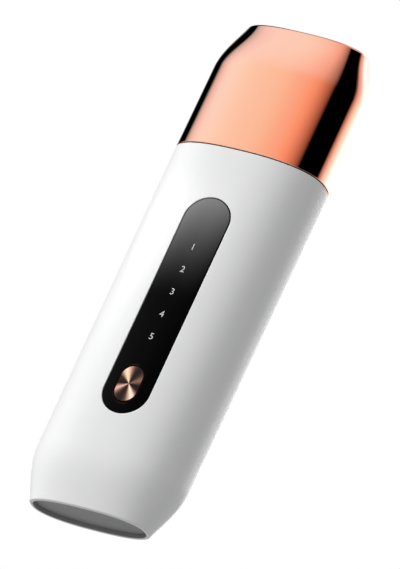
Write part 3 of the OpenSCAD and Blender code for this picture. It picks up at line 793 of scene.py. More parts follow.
@dataclass(frozen=True)
class Worked(Finish):
    """Bare or plated metal with the marks of its making."""

    grain: Grain = Grain.CAST
    depth: float = 0.006
    wear: float = 0.12
    patch_scale: float = 0.25
    patch_band: tuple[float, float] = (0.4, 0.75)
    patch_gloss: float = 0.06
    gloss_spread: float = 0.18

    def shader(self, graph: Graph) -> Mapping[str, Any]:
        """Metal whose lines vary its gloss, with duller patches.

        Args:
            graph: graph that gets the nodes.

        Returns:
            Value or link of each socket.
        """
        place = graph.place()
        lines = graph.noise(graph.stretched(place, self.grain.value), 1.0, 4.0)
        patch = graph.slope(graph.noise(place, self.patch_scale), *self.patch_band)
        dull = shade(self.colour, 1 - self.wear)
        return {
            "Base Color": graph.blend(patch, self.colour, dull),
            "Metallic": 1.0,
            "Roughness": self.roughness + (lines - 0.5) * self.gloss_spread + patch * self.patch_gloss,
            "Normal": graph.bump(lines, self.depth),
        }


@dataclass(frozen=True)
class MirrorPlate(Finish):
    """Polished plating with a trace of wiping marks."""

    smear_stretch: tuple[float, float, float] = (1.0, 1.0, 0.4)
    smear_scale: float = 0.09
    smear_band: tuple[float, float] = (0.45, 0.8)
    smear_shade: float = 0.985
    smear_gloss: float = 0.01

    def shader(self, graph: Graph) -> Mapping[str, Any]:
        """Metal that is clear but for faint smudges.

        Args:
            graph: graph that gets the nodes.

        Returns:
            Value or link of each socket.
        """
        smear = graph.smear(self.smear_stretch, self.smear_scale, self.smear_band)
        return {
            "Base Color": graph.blend(smear, self.colour, shade(self.colour, self.smear_shade)),
            "Metallic": 1.0,
            "Roughness": self.roughness + smear * self.smear_gloss,
        }


# Angle round the key's centre in degrees, 0 at the right and 90 at the top, and the colour painted there: the
# bright wedges are painted highlights of spun metal and the dark wedges between them painted dark reflections
SPUN_PAINTED_HIGHLIGHTS: Stops = (
    (-180, (0.014, 0.011, 0.011)), (-170, (0.035, 0.024, 0.021)), (-160, (0.36, 0.17, 0.13)),
    (-150, (0.93, 0.5, 0.37)), (-140, (0.86, 0.48, 0.35)), (-130, (0.28, 0.15, 0.11)),
    (-119, (0.065, 0.037, 0.03)), (-105, (0.02, 0.015, 0.014)), (-90, (0.033, 0.022, 0.018)),
    (-80, (0.14, 0.075, 0.055)), (-70, (0.76, 0.42, 0.3)), (-60, (1.0, 0.96, 0.74)),
    (-50, (0.98, 0.82, 0.62)), (-40, (0.36, 0.17, 0.12)), (-30, (0.05, 0.028, 0.022)),
    (-18, (0.014, 0.012, 0.011)), (-2, (0.016, 0.012, 0.012)), (10, (0.085, 0.048, 0.038)),
    (20, (0.23, 0.11, 0.085)), (30, (0.31, 0.145, 0.105)), (40, (0.22, 0.11, 0.085)),
    (50, (0.09, 0.05, 0.04)), (66, (0.02, 0.014, 0.013)), (80, (0.02, 0.016, 0.014)),
    (90, (0.055, 0.034, 0.028)), (100, (0.35, 0.17, 0.12)), (110, (0.98, 0.56, 0.42)),
    (120, (1.0, 0.9, 0.62)), (130, (0.98, 0.68, 0.49)), (140, (0.42, 0.2, 0.145)),
    (150, (0.04, 0.026, 0.021)), (180, (0.014, 0.011, 0.011)),
)


@dataclass(frozen=True)
class SpunMetalPaintedHighlights(Finish):
    """Spun face: painted highlights, light and dark wedges of colour round a centre, over fine rings."""

    centre_z: float = 38.3
    metal: float = 0.12
    ior: float = 1.15
    ring_scale: float = 6.0
    wander: float = 0.012
    face_band: tuple[float, float] = (-0.97, -0.8)
    gloss_spread: float = 0.2
    depth: float = 0.008

    def shader(self, graph: Graph) -> Mapping[str, Any]:
        """Painted highlights by the angle round the centre, and rings by the distance from it. Only the face
        that looks along -Y gets the painted highlights; the rest keeps the dark colour.

        Args:
            graph: graph that gets the nodes.

        Returns:
            Value or link of each socket.
        """
        x, _, z = graph.axes(graph.place())
        up = z - self.centre_z
        angle = graph.math("ARCTAN2", up, x) / np.pi
        reach = graph.math("SQRT", x * x + up * up)
        ring = graph.noise(graph.term("ShaderNodeCombineXYZ", None, {0: reach * self.ring_scale}), 1.0)
        turn = angle * 0.5 + 0.5 + (ring - 0.5) * self.wander
        # Painted highlights: colour by the angle round the centre, standing in for the spun metal's
        # reflections
        painted_highlights = graph.dial(SPUN_PAINTED_HIGHLIGHTS, turn)
        facing = graph.axes(graph.term("ShaderNodeNewGeometry", output="True Normal"))[1]
        side = graph.slope(facing, *self.face_band)
        return {
            "Base Color": graph.blend(side, painted_highlights, self.colour),
            "Metallic": self.metal,
            "Roughness": self.roughness + (ring - 0.5) * self.gloss_spread,
            "IOR": self.ior,
            "Normal": graph.bump(ring, self.depth),
        }


@dataclass(frozen=True)
class Wound(Finish):
    """Enamelled wire wound side by side."""

    pitch: float = 0.25
    # Share of the colour left in the grooves between turns: painted shade
    groove_painted_shade: float = 0.35
    metal: float = 0.7
    gloss_spread: float = 0.1
    depth: float = 0.08

    def shader(self, graph: Graph) -> Mapping[str, Any]:
        """Bands across Z, one for each turn, darkened in the grooves between turns as painted shade.

        Args:
            graph: graph that gets the nodes.

        Returns:
            Value or link of each socket.
        """
        place = graph.place()
        z = graph.axes(place)[2]
        turn = graph.math("SINE", z * (2 * np.pi / self.pitch)) * 0.5 + 0.5
        return {
            "Base Color": graph.blend(turn, shade(self.colour, self.groove_painted_shade), self.colour),
            "Metallic": self.metal,
            "Roughness": self.roughness + graph.noise(place, 2.0) * self.gloss_spread,
            "Normal": graph.bump(turn, self.depth),
        }


@dataclass(frozen=True)
class Circuit(Finish):
    """Solder mask over copper tracks."""

    track: Colour = (0.1, 0.36, 0.16)
    # Cells for each millimetre along X, Y and Z, and the distances from a cell's edge that a track fills
    cells: tuple[float, float, float] = (0.5, 0.01, 0.22)
    track_band: tuple[float, float] = (0.09, 0.05)
    coat: float = 0.4
    gloss_spread: float = 0.1
    depth: float = 0.03

    def shader(self, graph: Graph) -> Mapping[str, Any]:
        """Paler tracks where a coarse cell pattern has its edges.

        Args:
            graph: graph that gets the nodes.

        Returns:
            Value or link of each socket.
        """
        place = graph.place()
        from_edge = graph.term(
            "ShaderNodeTexVoronoi", {"feature": "DISTANCE_TO_EDGE"},
            {"Vector": graph.stretched(place, self.cells), "Scale": 1.0, "Randomness": 0.5},
        )
        line = graph.slope(from_edge, *self.track_band)
        return {
            "Base Color": graph.blend(line, self.colour, self.track),
            "Roughness": self.roughness + graph.noise(place, 1.5) * self.gloss_spread,
            "Coat Weight": self.coat,
            "Normal": graph.bump(line, self.depth),
        }


@dataclass(frozen=True)
class GlossPanel(Finish):
    """Polished dark acrylic with a trace of wiping marks."""

    ior: float = 1.5
    smear_stretch: tuple[float, float, float] = (1.0, 1.0, 0.5)
    smear_scale: float = 0.3
    smear_band: tuple[float, float] = (0.5, 0.8)
    smear_shade: float = 1.3
    smear_gloss: float = 0.02

    def shader(self, graph: Graph) -> Mapping[str, Any]:
        """Near black, clear but for faint smudges.

        Args:
            graph: graph that gets the nodes.

        Returns:
            Value or link of each socket.
        """
        smear = graph.smear(self.smear_stretch, self.smear_scale, self.smear_band)
        return {
            "Base Color": graph.blend(smear, self.colour, shade(self.colour, self.smear_shade)),
            "Roughness": self.roughness + smear * self.smear_gloss,
            "IOR": self.ior,
        }


@dataclass(frozen=True)
class StripedTongue(Finish):
    """Dark insert of the charging port with its row of plated contacts."""

    contact: Colour = (0.85, 0.62, 0.25)
    contact_gloss: float = 0.15
    pitch: float = 0.5
    stripe_band: tuple[float, float] = (-0.1, 0.1)
    level_band: tuple[float, float] = (0.8, 0.95)

    def shader(self, graph: Graph) -> Mapping[str, Any]:
        """Contacts as stripes across X, on the faces that look up and down.

        Args:
            graph: graph that gets the nodes.

        Returns:
            Value or link of each socket.
        """
        x = graph.axes(graph.place())[0]
        wave = graph.math("COSINE", x * (2 * np.pi / self.pitch))
        facing = graph.axes(graph.term("ShaderNodeNewGeometry", output="Normal"))[2]
        level = graph.slope(graph.math("ABSOLUTE", facing), *self.level_band)
        stripe = graph.slope(wave, *self.stripe_band) * level
        return {
            "Base Color": graph.blend(stripe, self.colour, self.contact),
            "Metallic": stripe,
            "Roughness": self.roughness - stripe * self.contact_gloss,
        }


# Pieces


def fit(
    piece: bpy.types.Object, finish: Union[Finish, Sequence[Finish]], body: str, slot: str, *nodes: str
) -> bpy.types.Object:
    """Dresses a piece, makes it ride on a body and stand for its CAD nodes.

    Args:
        piece: the object.
        finish: finish of its surface, or one for each of its material slots.
        body: CAD body that it rides on.
        slot: the record's material slot.
        nodes: CAD nodes that it stands for.

    Returns:
        The piece.
    """
    finishes = [finish] if isinstance(finish, Finish) else finish
    for i, one in enumerate(finishes):
        piece.data.materials.append(one.make(slot + ("_%d" % i if i else "")))
    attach(piece, body)
    if nodes:
        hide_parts(*nodes)
    stands_for = ", ".join(nodes) or "itself"
    log.info("%s: %d faces, on %s, for %s", piece.name, len(piece.data.polygons), body, stands_for)
    return piece


@dataclass
class Sleeve:
    """One-piece body shell with the panel's pocket, the port's hole, a mouth and a rim to stand on."""

    form: BodyForm = field(default_factory=BodyForm)
    wall: float = 1.8
    rim: float = 1.15
    rim_round: float = 0.3
    rim_inner_round: float = 0.2
    mouth_round: float = 0.22
    mouth_lead: float = 0.6
    step: float = 0.8
    step_h: float = 1.0
    step_bevel: float = 0.08
    flange_z: float = 3.3
    floor_z: float = 4.9
    flange_w: float = 1.3
    inner_room: float = 0.3
    pocket: Stadium = Stadium(14.9, 72.0, 64.8)
    pocket_round: float = 0.22
    pocket_y: float = -10.75
    pocket_margin: float = 4.0
    ledge: float = 1.2
    ledge_back_y: float = -9.3
    port: Stadium = Stadium(11.04, 5.26, 21.6)
    port_round: float = 0.2
    port_margin: float = 1.9
    # Shares of the way from a window to its opening outside, and back to its window inside
    closing: tuple[float, ...] = (0.3, 0.55, 0.75, 0.9, 0.97)
    parting: tuple[float, ...] = (0.0, 0.4, 0.75)
    # Height at which each band of rings ends and the count of its rings, from the foot up
    bands: tuple[tuple[float, int], ...] = (
        (17.4, 24), (25.8, 13), (38.2, 22), (91.4, 14), (103.8, 22), (116, 5),
    )
    # Rings under the foot that keep the shell's white, and the rings of the recess after them, painted grey
    # as the shade that falls in the recess
    under_rings: tuple[int, int] = (3, 8)
    columns: int = 288
    finish: Finish = Moulded((0.86, 0.862, 0.866), 0.3, grain=3.0, relief=0.0, clouding=0.008)
    # Grey painted over the white shell inside the foot's recess: painted shade of the recess
    recess: Finish = Moulded((0.3, 0.3, 0.305), 0.5, grain=3.0, relief=0.008)

    def levels(self) -> Array:
        """Heights of the rings, close together at the foot, round the port and round the panel's ends.

        Returns:
            Heights from the foot up.
        """
        low, levels = self.rim_round + HOLD, [np.array([self.rim_round])]
        for high, count in self.bands:
            levels.append(np.linspace(low, high, count))
            low = high
        return np.unique(np.concatenate(levels).round(6))

    def window(self, stadium: Stadium, margin: float, side: int, z: Array) -> tuple[Array, Array]:
        """Rows and columns of the grid that a window round an outline takes out.

        In words: rows within half the outline's height and the margin; columns within the angle that
        half its width and the margin take up on a circle of the body's half width.

        Args:
            stadium: outline in the window.
            margin: room round it.
            side: -1 in front, 1 behind.
            z: heights of the rings.

        Returns:
            Row numbers and column numbers, both ends included.
        """
        half = stadium.height / 2 + margin
        rows = np.flatnonzero((z > stadium.z - half) & (z < stadium.z + half))
        angle = np.degrees((stadium.width / 2 + margin) / (self.form.width / 2))
        reach = int(np.ceil(angle / 360 * self.columns))
        middle = self.columns * (3 if side < 0 else 1) // 4
        return rows, np.arange(middle - reach, middle + reach + 1)

    @staticmethod
    def loop(rows: Array, columns: Array) -> tuple[Array, Array]:
        """Points round a window, in order.

        Args:
            rows: its row numbers.
            columns: its column numbers.

        Returns:
            Row and column of each point.
        """
        across, down = len(columns) - 1, len(rows) - 1
        r = np.concatenate([np.full(across, rows[0]), rows[:-1], np.full(across, rows[-1]), rows[:0:-1]])
        c = np.concatenate([
            columns[:-1], np.full(down, columns[-1]), columns[:0:-1], np.full(down, columns[0]),
        ])
        return r, c

    def opening(
        self, shell: Surface, outer: Array, inner: Array, points: tuple[Array, Array],
        stadium: Stadium, radius: float, side: int, middle: Sequence[tuple[float, float]],
    ) -> None:
        """Skins the wall round an opening, from the window outside to the window inside.

        In words: rings run from the window to the outline in the plane of the opening and lie on the
        surface, then follow a rounded edge, the given steps, and the inner surface back to its window.

        Args:
            shell: surface that gets the faces.
            outer: numbers of the window's points outside.
            inner: numbers of the window's points inside.
            points: their places, outside and inside.
            stadium: outline of the opening.
            radius: rounding of its edge.
            side: -1 in front, 1 behind.
            middle: offset and y of each ring between the rounded edge and the inner surface.
        """
        spots = self.form.spots
        far, near = (p[:, [0, 2]] for p in points)
        track = stadium.nearest(*far.T)
        edge = track.at(radius)
        rows = [spots(mix(far, edge, s), side) for s in self.closing]
        rows += [spots(track.at(offset), side, 0.0, sunk) for offset, sunk in zip(*quarter(radius))]
        rows += [np.insert(track.at(offset), 1, y, axis=1) for offset, y in middle]
        last = track.at(middle[-1][0] if middle else 0.0)
        rows += [spots(mix(last, near, s), side, self.wall) for s in self.parting]
        index = shell.add(np.stack(rows))
        shell.skin(np.concatenate([outer[None], index, inner[None]]))

    def build(self) -> bpy.types.Object:
        """Builds the shell as one closed surface.

        In words: rings follow the outer surface up, the mouth's rounded edge and step, the inner surface
        down, and the floor's flange, recess and rim back to the start; two windows in the outer and inner
        surfaces are joined through the panel's pocket and the port's hole.

        Returns:
            The sleeve.
        """
        form, shell = self.form, Surface()
        angle = all_round(self.columns)
        z = self.levels()
        low, high = self.floor_z + self.inner_room, form.joint_z - self.step_h - self.inner_room
        inner_z = z[(z > low) & (z < high)]
        outside = form.section(z).rings(angle, z)
        inside = form.section(inner_z).drawn_in(self.wall).rings(angle, inner_z)
        out_index, in_index = shell.add(outside), shell.add(inside)
        keep_out = np.ones((len(z) - 1, self.columns), bool)
        keep_in = np.ones((len(inner_z) - 1, self.columns), bool)
        shift = int(np.searchsorted(z, inner_z[0]))
        frame_steps = [
            (0.0, self.pocket_y), (-self.ledge, self.pocket_y), (-self.ledge, self.ledge_back_y),
            (self.ledge, self.ledge_back_y),
        ]
        for stadium, margin, radius, side, middle in (
            (self.pocket, self.pocket_margin, self.pocket_round, -1, frame_steps),
            (self.port, self.port_margin, self.port_round, 1, []),
        ):
            rows, columns = self.window(stadium, margin, side, z)
            for keep, first in ((keep_out, 0), (keep_in, shift)):
                keep[np.ix_(rows[:-1] - first, columns[:-1] % self.columns)] = False
            r, c = self.loop(rows, columns)
            c = c % self.columns
            self.opening(
                shell, out_index[r, c], in_index[r - shift, c], (outside[r, c], inside[r - shift, c]),
                stadium, radius, side, middle,
            )
        shell.skin(out_index, keep_out)
        shell.skin(in_index, keep_in)
        shell.skin(np.stack([out_index[-1], *self.edge_rings(shell, angle, self.mouth_rows()), in_index[-1]]))
        under = np.stack([in_index[0], *self.edge_rings(shell, angle, self.foot_rows()), out_index[0]])
        # The recess rings get the grey painted shade
        white, grey = self.under_rings
        shell.skin(under, slots=[0] * white + [1] * grey)
        sleeve = shell.make("body_sleeve", sharp=50)
        return fit(sleeve, (self.finish, self.recess), "body", "shell_white", "housing")

    def edge_rings(self, shell: Surface, angle: Array, rows: Sequence[Row]) -> list[Array]:
        """Adds rings given as height, height whose section they take, and inset."""
        z, taken, inset = np.array(rows).T
        return list(shell.add(self.form.section(taken).drawn_in(inset).rings(angle, z)))

    def mouth_rows(self) -> list[Row]:
        """Rings over the mouth: rounded edge, flat lip, and the step that the neck sits in.

        Returns:
            Height, height whose section is taken, and inset of each ring.
        """
        top, lead = self.form.joint_z, self.form.joint_z - self.mouth_lead
        thin = self.wall - self.step
        rounded = [(top - up, top, inward) for up, inward in zip(*quarter(self.mouth_round))]
        return [
            (lead, lead, 0.0), *rounded,
            (top, top, thin - self.step_bevel), (top - self.step_bevel, top, thin),
            (top - self.step_h, top, thin), (top - self.step_h, top, self.wall),
        ]

    def foot_rows(self) -> list[Row]:
        """Rings under the foot: inner floor, flange, recess, and the rim with its rounded edges.

        Returns:
            Height, height whose section is taken, and inset of each ring.
        """
        lip = [(up, 0.0, self.rim - across) for across, up in zip(*quarter(self.rim_inner_round))]
        turn = [(up, up, inward) for up, inward in zip(*quarter(self.rim_round))]
        return [
            (self.floor_z, self.floor_z, self.wall), (self.floor_z, 0.0, self.rim + self.flange_w),
            (self.flange_z, 0.0, self.rim + self.flange_w), (self.flange_z, 0.0, self.rim),
            *lip[::-1], *turn[::-1][:-2],
        ]


@dataclass
class ControlPanel:
    """Dark panel flush with the body, its numerals, and the ring and the key set into it."""

    form: BodyForm = field(default_factory=BodyForm)
    outline: Stadium = Stadium(14.74, 71.84, 64.8)
    back_y: float = -10.9
    edge: float = 0.3
    key: Stadium = Stadium(7.1, 11.5, 38.3)
    key_gap: float = 0.22
    ring_w: float = 0.45
    ring_edge: float = 0.12
    ring_proud: float = 0.05
    hole_gap: float = 0.03
    hole_edge: float = 0.08
    key_proud: float = 0.35
    key_edge: float = 0.22
    key_flat: float = 0.1
    key_flange: float = 1.0
    key_flange_y: float = -10.85
    key_back_y: float = -10.15
    mark_z: tuple[float, ...] = (84.2, 76.7, 69.2, 61.7, 54.2)
    mark_h: float = 2.0
    mark_t: float = 0.03
    # Height of a figure as a share of the letters' nominal size
    figure_share: float = 0.7
    rows: int = 26
    # Points on each round end and on each straight side of the outlines
    outline_points: tuple[int, int] = (40, 36)
    key_points: tuple[int, int] = (40, 16)
    glass: Finish = GlossPanel((0.0022, 0.0022, 0.0025), 0.03)
    matt_edge: Finish = Moulded((0.0015, 0.0015, 0.0015), 0.85, ior=1.12, relief=0.0005)
    # The key's spun finish carries painted highlights in its base colour
    copper: Finish = SpunMetalPaintedHighlights((0.03, 0.018, 0.015), 0.32)
    dark_copper: Finish = Worked((0.034, 0.018, 0.014), 0.2, grain=Grain.BRUSHED_X)
    ink: Finish = Moulded((0.62, 0.62, 0.62), 0.5, relief=0.0005)

    def lens(self) -> bpy.types.Object:
        """Builds the panel as rings between its outline and the hole round the key.

        In words: each ring lies a share of the way from the outline to the hole along straight lines
        through the key's centre, on the body's surface; a matt bevel and flat sides close it behind.

        Returns:
            The panel.
        """
        spots, centre = self.form.spots, np.array([0.0, self.key.z])
        track = self.outline.track(*self.outline_points)
        way = track.at(0.0) - centre
        way /= np.linalg.norm(way, axis=1, keepdims=True)
        reach = self.key.grown(self.key_gap + self.ring_w + self.hole_gap).reach(way)[:, None]
        hole, end = (centre + way * (reach + offset) for offset in (0.0, self.hole_edge))
        rows = [np.insert(xz, 1, self.back_y, axis=1) for xz in (hole, track.at(0.0))]
        rows.append(spots(track.at(0.0), sunk=self.edge))
        start = track.at(-self.edge)
        rows += [spots(mix(start, end, s)) for s in np.linspace(0, 1, self.rows)]
        rows.append(spots(hole, sunk=self.hole_edge))
        lens = swept("panel_glass", np.stack(rows), sharp=30, round_path=True, slots=(1, 1, 1))
        return fit(lens, (self.glass, self.matt_edge), "body", "panel_black", "panel_lens")

    def ring(self) -> bpy.types.Object:
        """Builds the thin ring round the key, with both front edges bevelled.

        Returns:
            The ring.
        """
        front = -self.form.half_depth(self.key.z) - self.ring_proud
        inner, outer, e = self.key_gap, self.key_gap + self.ring_w, self.ring_edge
        steps = [
            (inner, self.back_y), (inner, front + e), (inner + e, front),
            (outer - e, front), (outer, front + e), (outer, self.back_y),
        ]
        track = self.key.track(*self.key_points)
        ring = swept("key_bezel", track.sweep(steps), sharp=30, round_path=True)
        return fit(ring, self.dark_copper, "body", "ring_copper", "key_ring")

    def button(self) -> bpy.types.Object:
        """Builds the key: flat spun face, rounded edge, side and flange, closed on its middle line.

        Returns:
            The key.
        """
        front = -self.form.half_depth(self.key.z) - self.key_proud
        r, flange = self.key.radius, self.key_flange
        edge = [(-inward, front + back) for inward, back in zip(*quarter(self.key_edge))]
        steps = [
            (-r, front), (-r / 2, front), (-self.key_edge - self.key_flat, front), *edge,
            (0.0, self.key_flange_y), (flange, self.key_flange_y),
            (flange, self.key_back_y), (-r, self.key_back_y),
        ]
        key = swept("power_button", self.key.track(*self.key_points).sweep(steps), sharp=40)
        return fit(key, self.copper, "key", "key_copper", "power_key")

    def numeral(self, digit: str, z: float) -> bpy.types.Object:
        """Makes a numeral that lies on the panel's surface.

        Args:
            digit: what it reads.
            z: height of its middle.

        Returns:
            The numeral.
        """
        name = "mark_" + digit
        curve = bpy.data.curves.new(name, "FONT")
        curve.body = digit
        curve.align_x, curve.align_y = "CENTER", "CENTER"
        curve.size = self.mark_h / self.figure_share
        curve.extrude = self.mark_t
        curve.resolution_u = 8
        text = placed(name, curve)
        mesh = bpy.data.meshes.new_from_object(text.evaluated_get(bpy.context.evaluated_depsgraph_get()))
        bpy.data.objects.remove(text)
        co = np.empty(len(mesh.vertices) * 3, np.float32)
        mesh.vertices.foreach_get("co", co)
        x, up, proud = co.reshape(-1, 3).T
        level = z + up
        y = self.form.face(x, level) - proud
        mesh.vertices.foreach_set("co", (np.stack([x, y, level], -1) * MM).astype(np.float32).ravel())
        mesh.update()
        turn_outwards(mesh)
        return fit(placed(name, mesh), self.ink, "body", "led_white")

    def build(self) -> None:
        """Builds the panel's pieces."""
        self.lens()
        self.ring()
        self.button()
        for i, z in enumerate(self.mark_z):
            self.numeral(str(i + 1), z)


@dataclass
class Foot:
    """Grey plate that closes the foot."""

    form: BodyForm = field(default_factory=BodyForm)
    rim: float = 1.15
    gap: float = 0.1
    low_z: float = 1.2
    top_z: float = 2.8
    plug_z: float = 6.1
    flange_w: float = 1.3
    plug_wall: float = 1.2
    edge: float = 0.18
    # Distance of the flat rings from the rounded edge, from the middle out
    flat: tuple[float, ...] = (5.5, 3.5, 1.5, 0.1)
    columns: int = 192
    finish: Finish = Moulded((0.3, 0.3, 0.305), 0.55, grain=3.0, relief=0.012, clouding=0.05)

    def build(self) -> bpy.types.Object:
        """Builds the plate: rings from its middle out, round its edge and up the plug behind it.

        Returns:
            The plate.
        """
        side, plug = self.rim + self.gap, self.rim + self.flange_w + self.gap
        shrink = [(self.low_z, side + self.edge + d) for d in self.flat]
        edge = [(self.low_z + up, side + inward) for up, inward in zip(*quarter(self.edge))][::-1]
        rows = [
            *shrink, *edge, (self.top_z, side), (self.top_z, plug), (self.plug_z, plug),
            (self.plug_z, plug + self.plug_wall), (self.top_z, plug + self.plug_wall),
        ]
        z, inset = np.array(rows).T
        grid = self.form.section(0 * z).drawn_in(inset).rings(all_round(self.columns), z)
        first, last = grid[:1] * [0, 0, 1], grid[-1:] * [0, 0, 1]
        plate = swept("foot_cover", np.concatenate([first, grid, last]), sharp=40)
        return fit(plate, self.finish, "body", "foot_grey", "foot_plate")


@dataclass
class ChargePort:
    """Charging port behind: dark frame, metal shell and the tongue with its contacts."""

    form: BodyForm = field(default_factory=BodyForm)
    shell: Stadium = Stadium(8.94, 3.16, 21.6)
    tongue: Stadium = Stadium(6.69, 0.7, 21.6)
    length: float = 7.35
    wall: float = 1.8
    frame_w: float = 1.0
    frame_gap: float = 0.05
    frame_sunk: float = 0.22
    frame_edge: float = 0.18
    seat_gap: float = 0.35
    flange: float = 0.7
    flange_t: float = 0.8
    skin: float = 0.3
    shell_sunk: float = 0.3
    shell_edge: float = 0.08
    back_edge: float = 0.3
    end_t: float = 1.0
    tongue_sunk: float = 1.2
    tongue_edge: float = 0.15
    # Points on each round end and on each straight side of the outlines
    shell_points: tuple[int, int] = (28, 12)
    tongue_points: tuple[int, int] = (10, 24)
    frame_black: Finish = Moulded((0.018, 0.018, 0.02), 0.42, grain=3.0, relief=0.008)
    nickel: Finish = Worked((0.72, 0.71, 0.69), 0.2, grain=Grain.BRUSHED_X)
    insert: Finish = StripedTongue((0.02, 0.02, 0.02), 0.4)

    def surround(self, depth: float) -> bpy.types.Object:
        """Builds the dark frame: bevelled lip outside, flange behind the wall.

        Args:
            depth: half depth of the body at the port.

        Returns:
            The frame.
        """
        face, inner = depth - self.frame_sunk, depth - self.wall - self.seat_gap
        back = inner - self.flange_t
        g, w, e = self.frame_gap, self.frame_w, self.frame_edge
        steps = [
            (g, back), (g, face - e), (g + e, face), (w - e, face), (w, face - e), (w, inner),
            (w + self.flange, inner), (w + self.flange, back),
        ]
        track = self.shell.track(*self.shell_points)
        frame_piece = swept("port_frame", track.sweep(steps), sharp=30, round_path=True)
        return fit(frame_piece, self.frame_black, "body", "frame_black", "socket_frame")

    def tube(self, mouth: float, back: float) -> bpy.types.Object:
        """Builds the metal shell: a tube with a thick end.

        Args:
            mouth: y of its open end.
            back: y of its closed end.

        Returns:
            The shell.
        """
        r, s, e, end = self.shell.radius, self.skin, self.shell_edge, back + self.end_t
        steps = [
            (-r, back), (-self.back_edge, back), (0.0, back + self.back_edge), (0.0, mouth - e), (-e, mouth),
            (-s + e, mouth), (-s, mouth - e), (-s, end), (-r, end),
        ]
        tube = swept("port_shell", self.shell.track(*self.shell_points).sweep(steps), sharp=35)
        return fit(tube, self.nickel, "body", "steel_bright", "charge_socket")

    def contacts(self, mouth: float, back: float) -> bpy.types.Object:
        """Builds the tongue that carries the contacts.

        Args:
            mouth: y of the shell's open end.
            back: y of the shell's closed end.

        Returns:
            The tongue.
        """
        t, e = self.tongue.radius, self.tongue_edge
        low, high = back + self.end_t, mouth - self.tongue_sunk
        steps = [(-t, low), (0.0, low), (0.0, high - e), (-e, high), (-t, high)]
        tongue = swept("port_tongue", self.tongue.track(*self.tongue_points).sweep(steps), sharp=35)
        return fit(tongue, self.insert, "body", "chip_black", "socket_tongue")

    def build(self) -> None:
        """Builds the frame, the shell and the tongue, each swept along its round-ended outline."""
        depth = self.form.half_depth(self.shell.z)
        mouth = depth - self.shell_sunk
        self.surround(depth)
        self.tube(mouth, mouth - self.length)
        self.contacts(mouth, mouth - self.length)


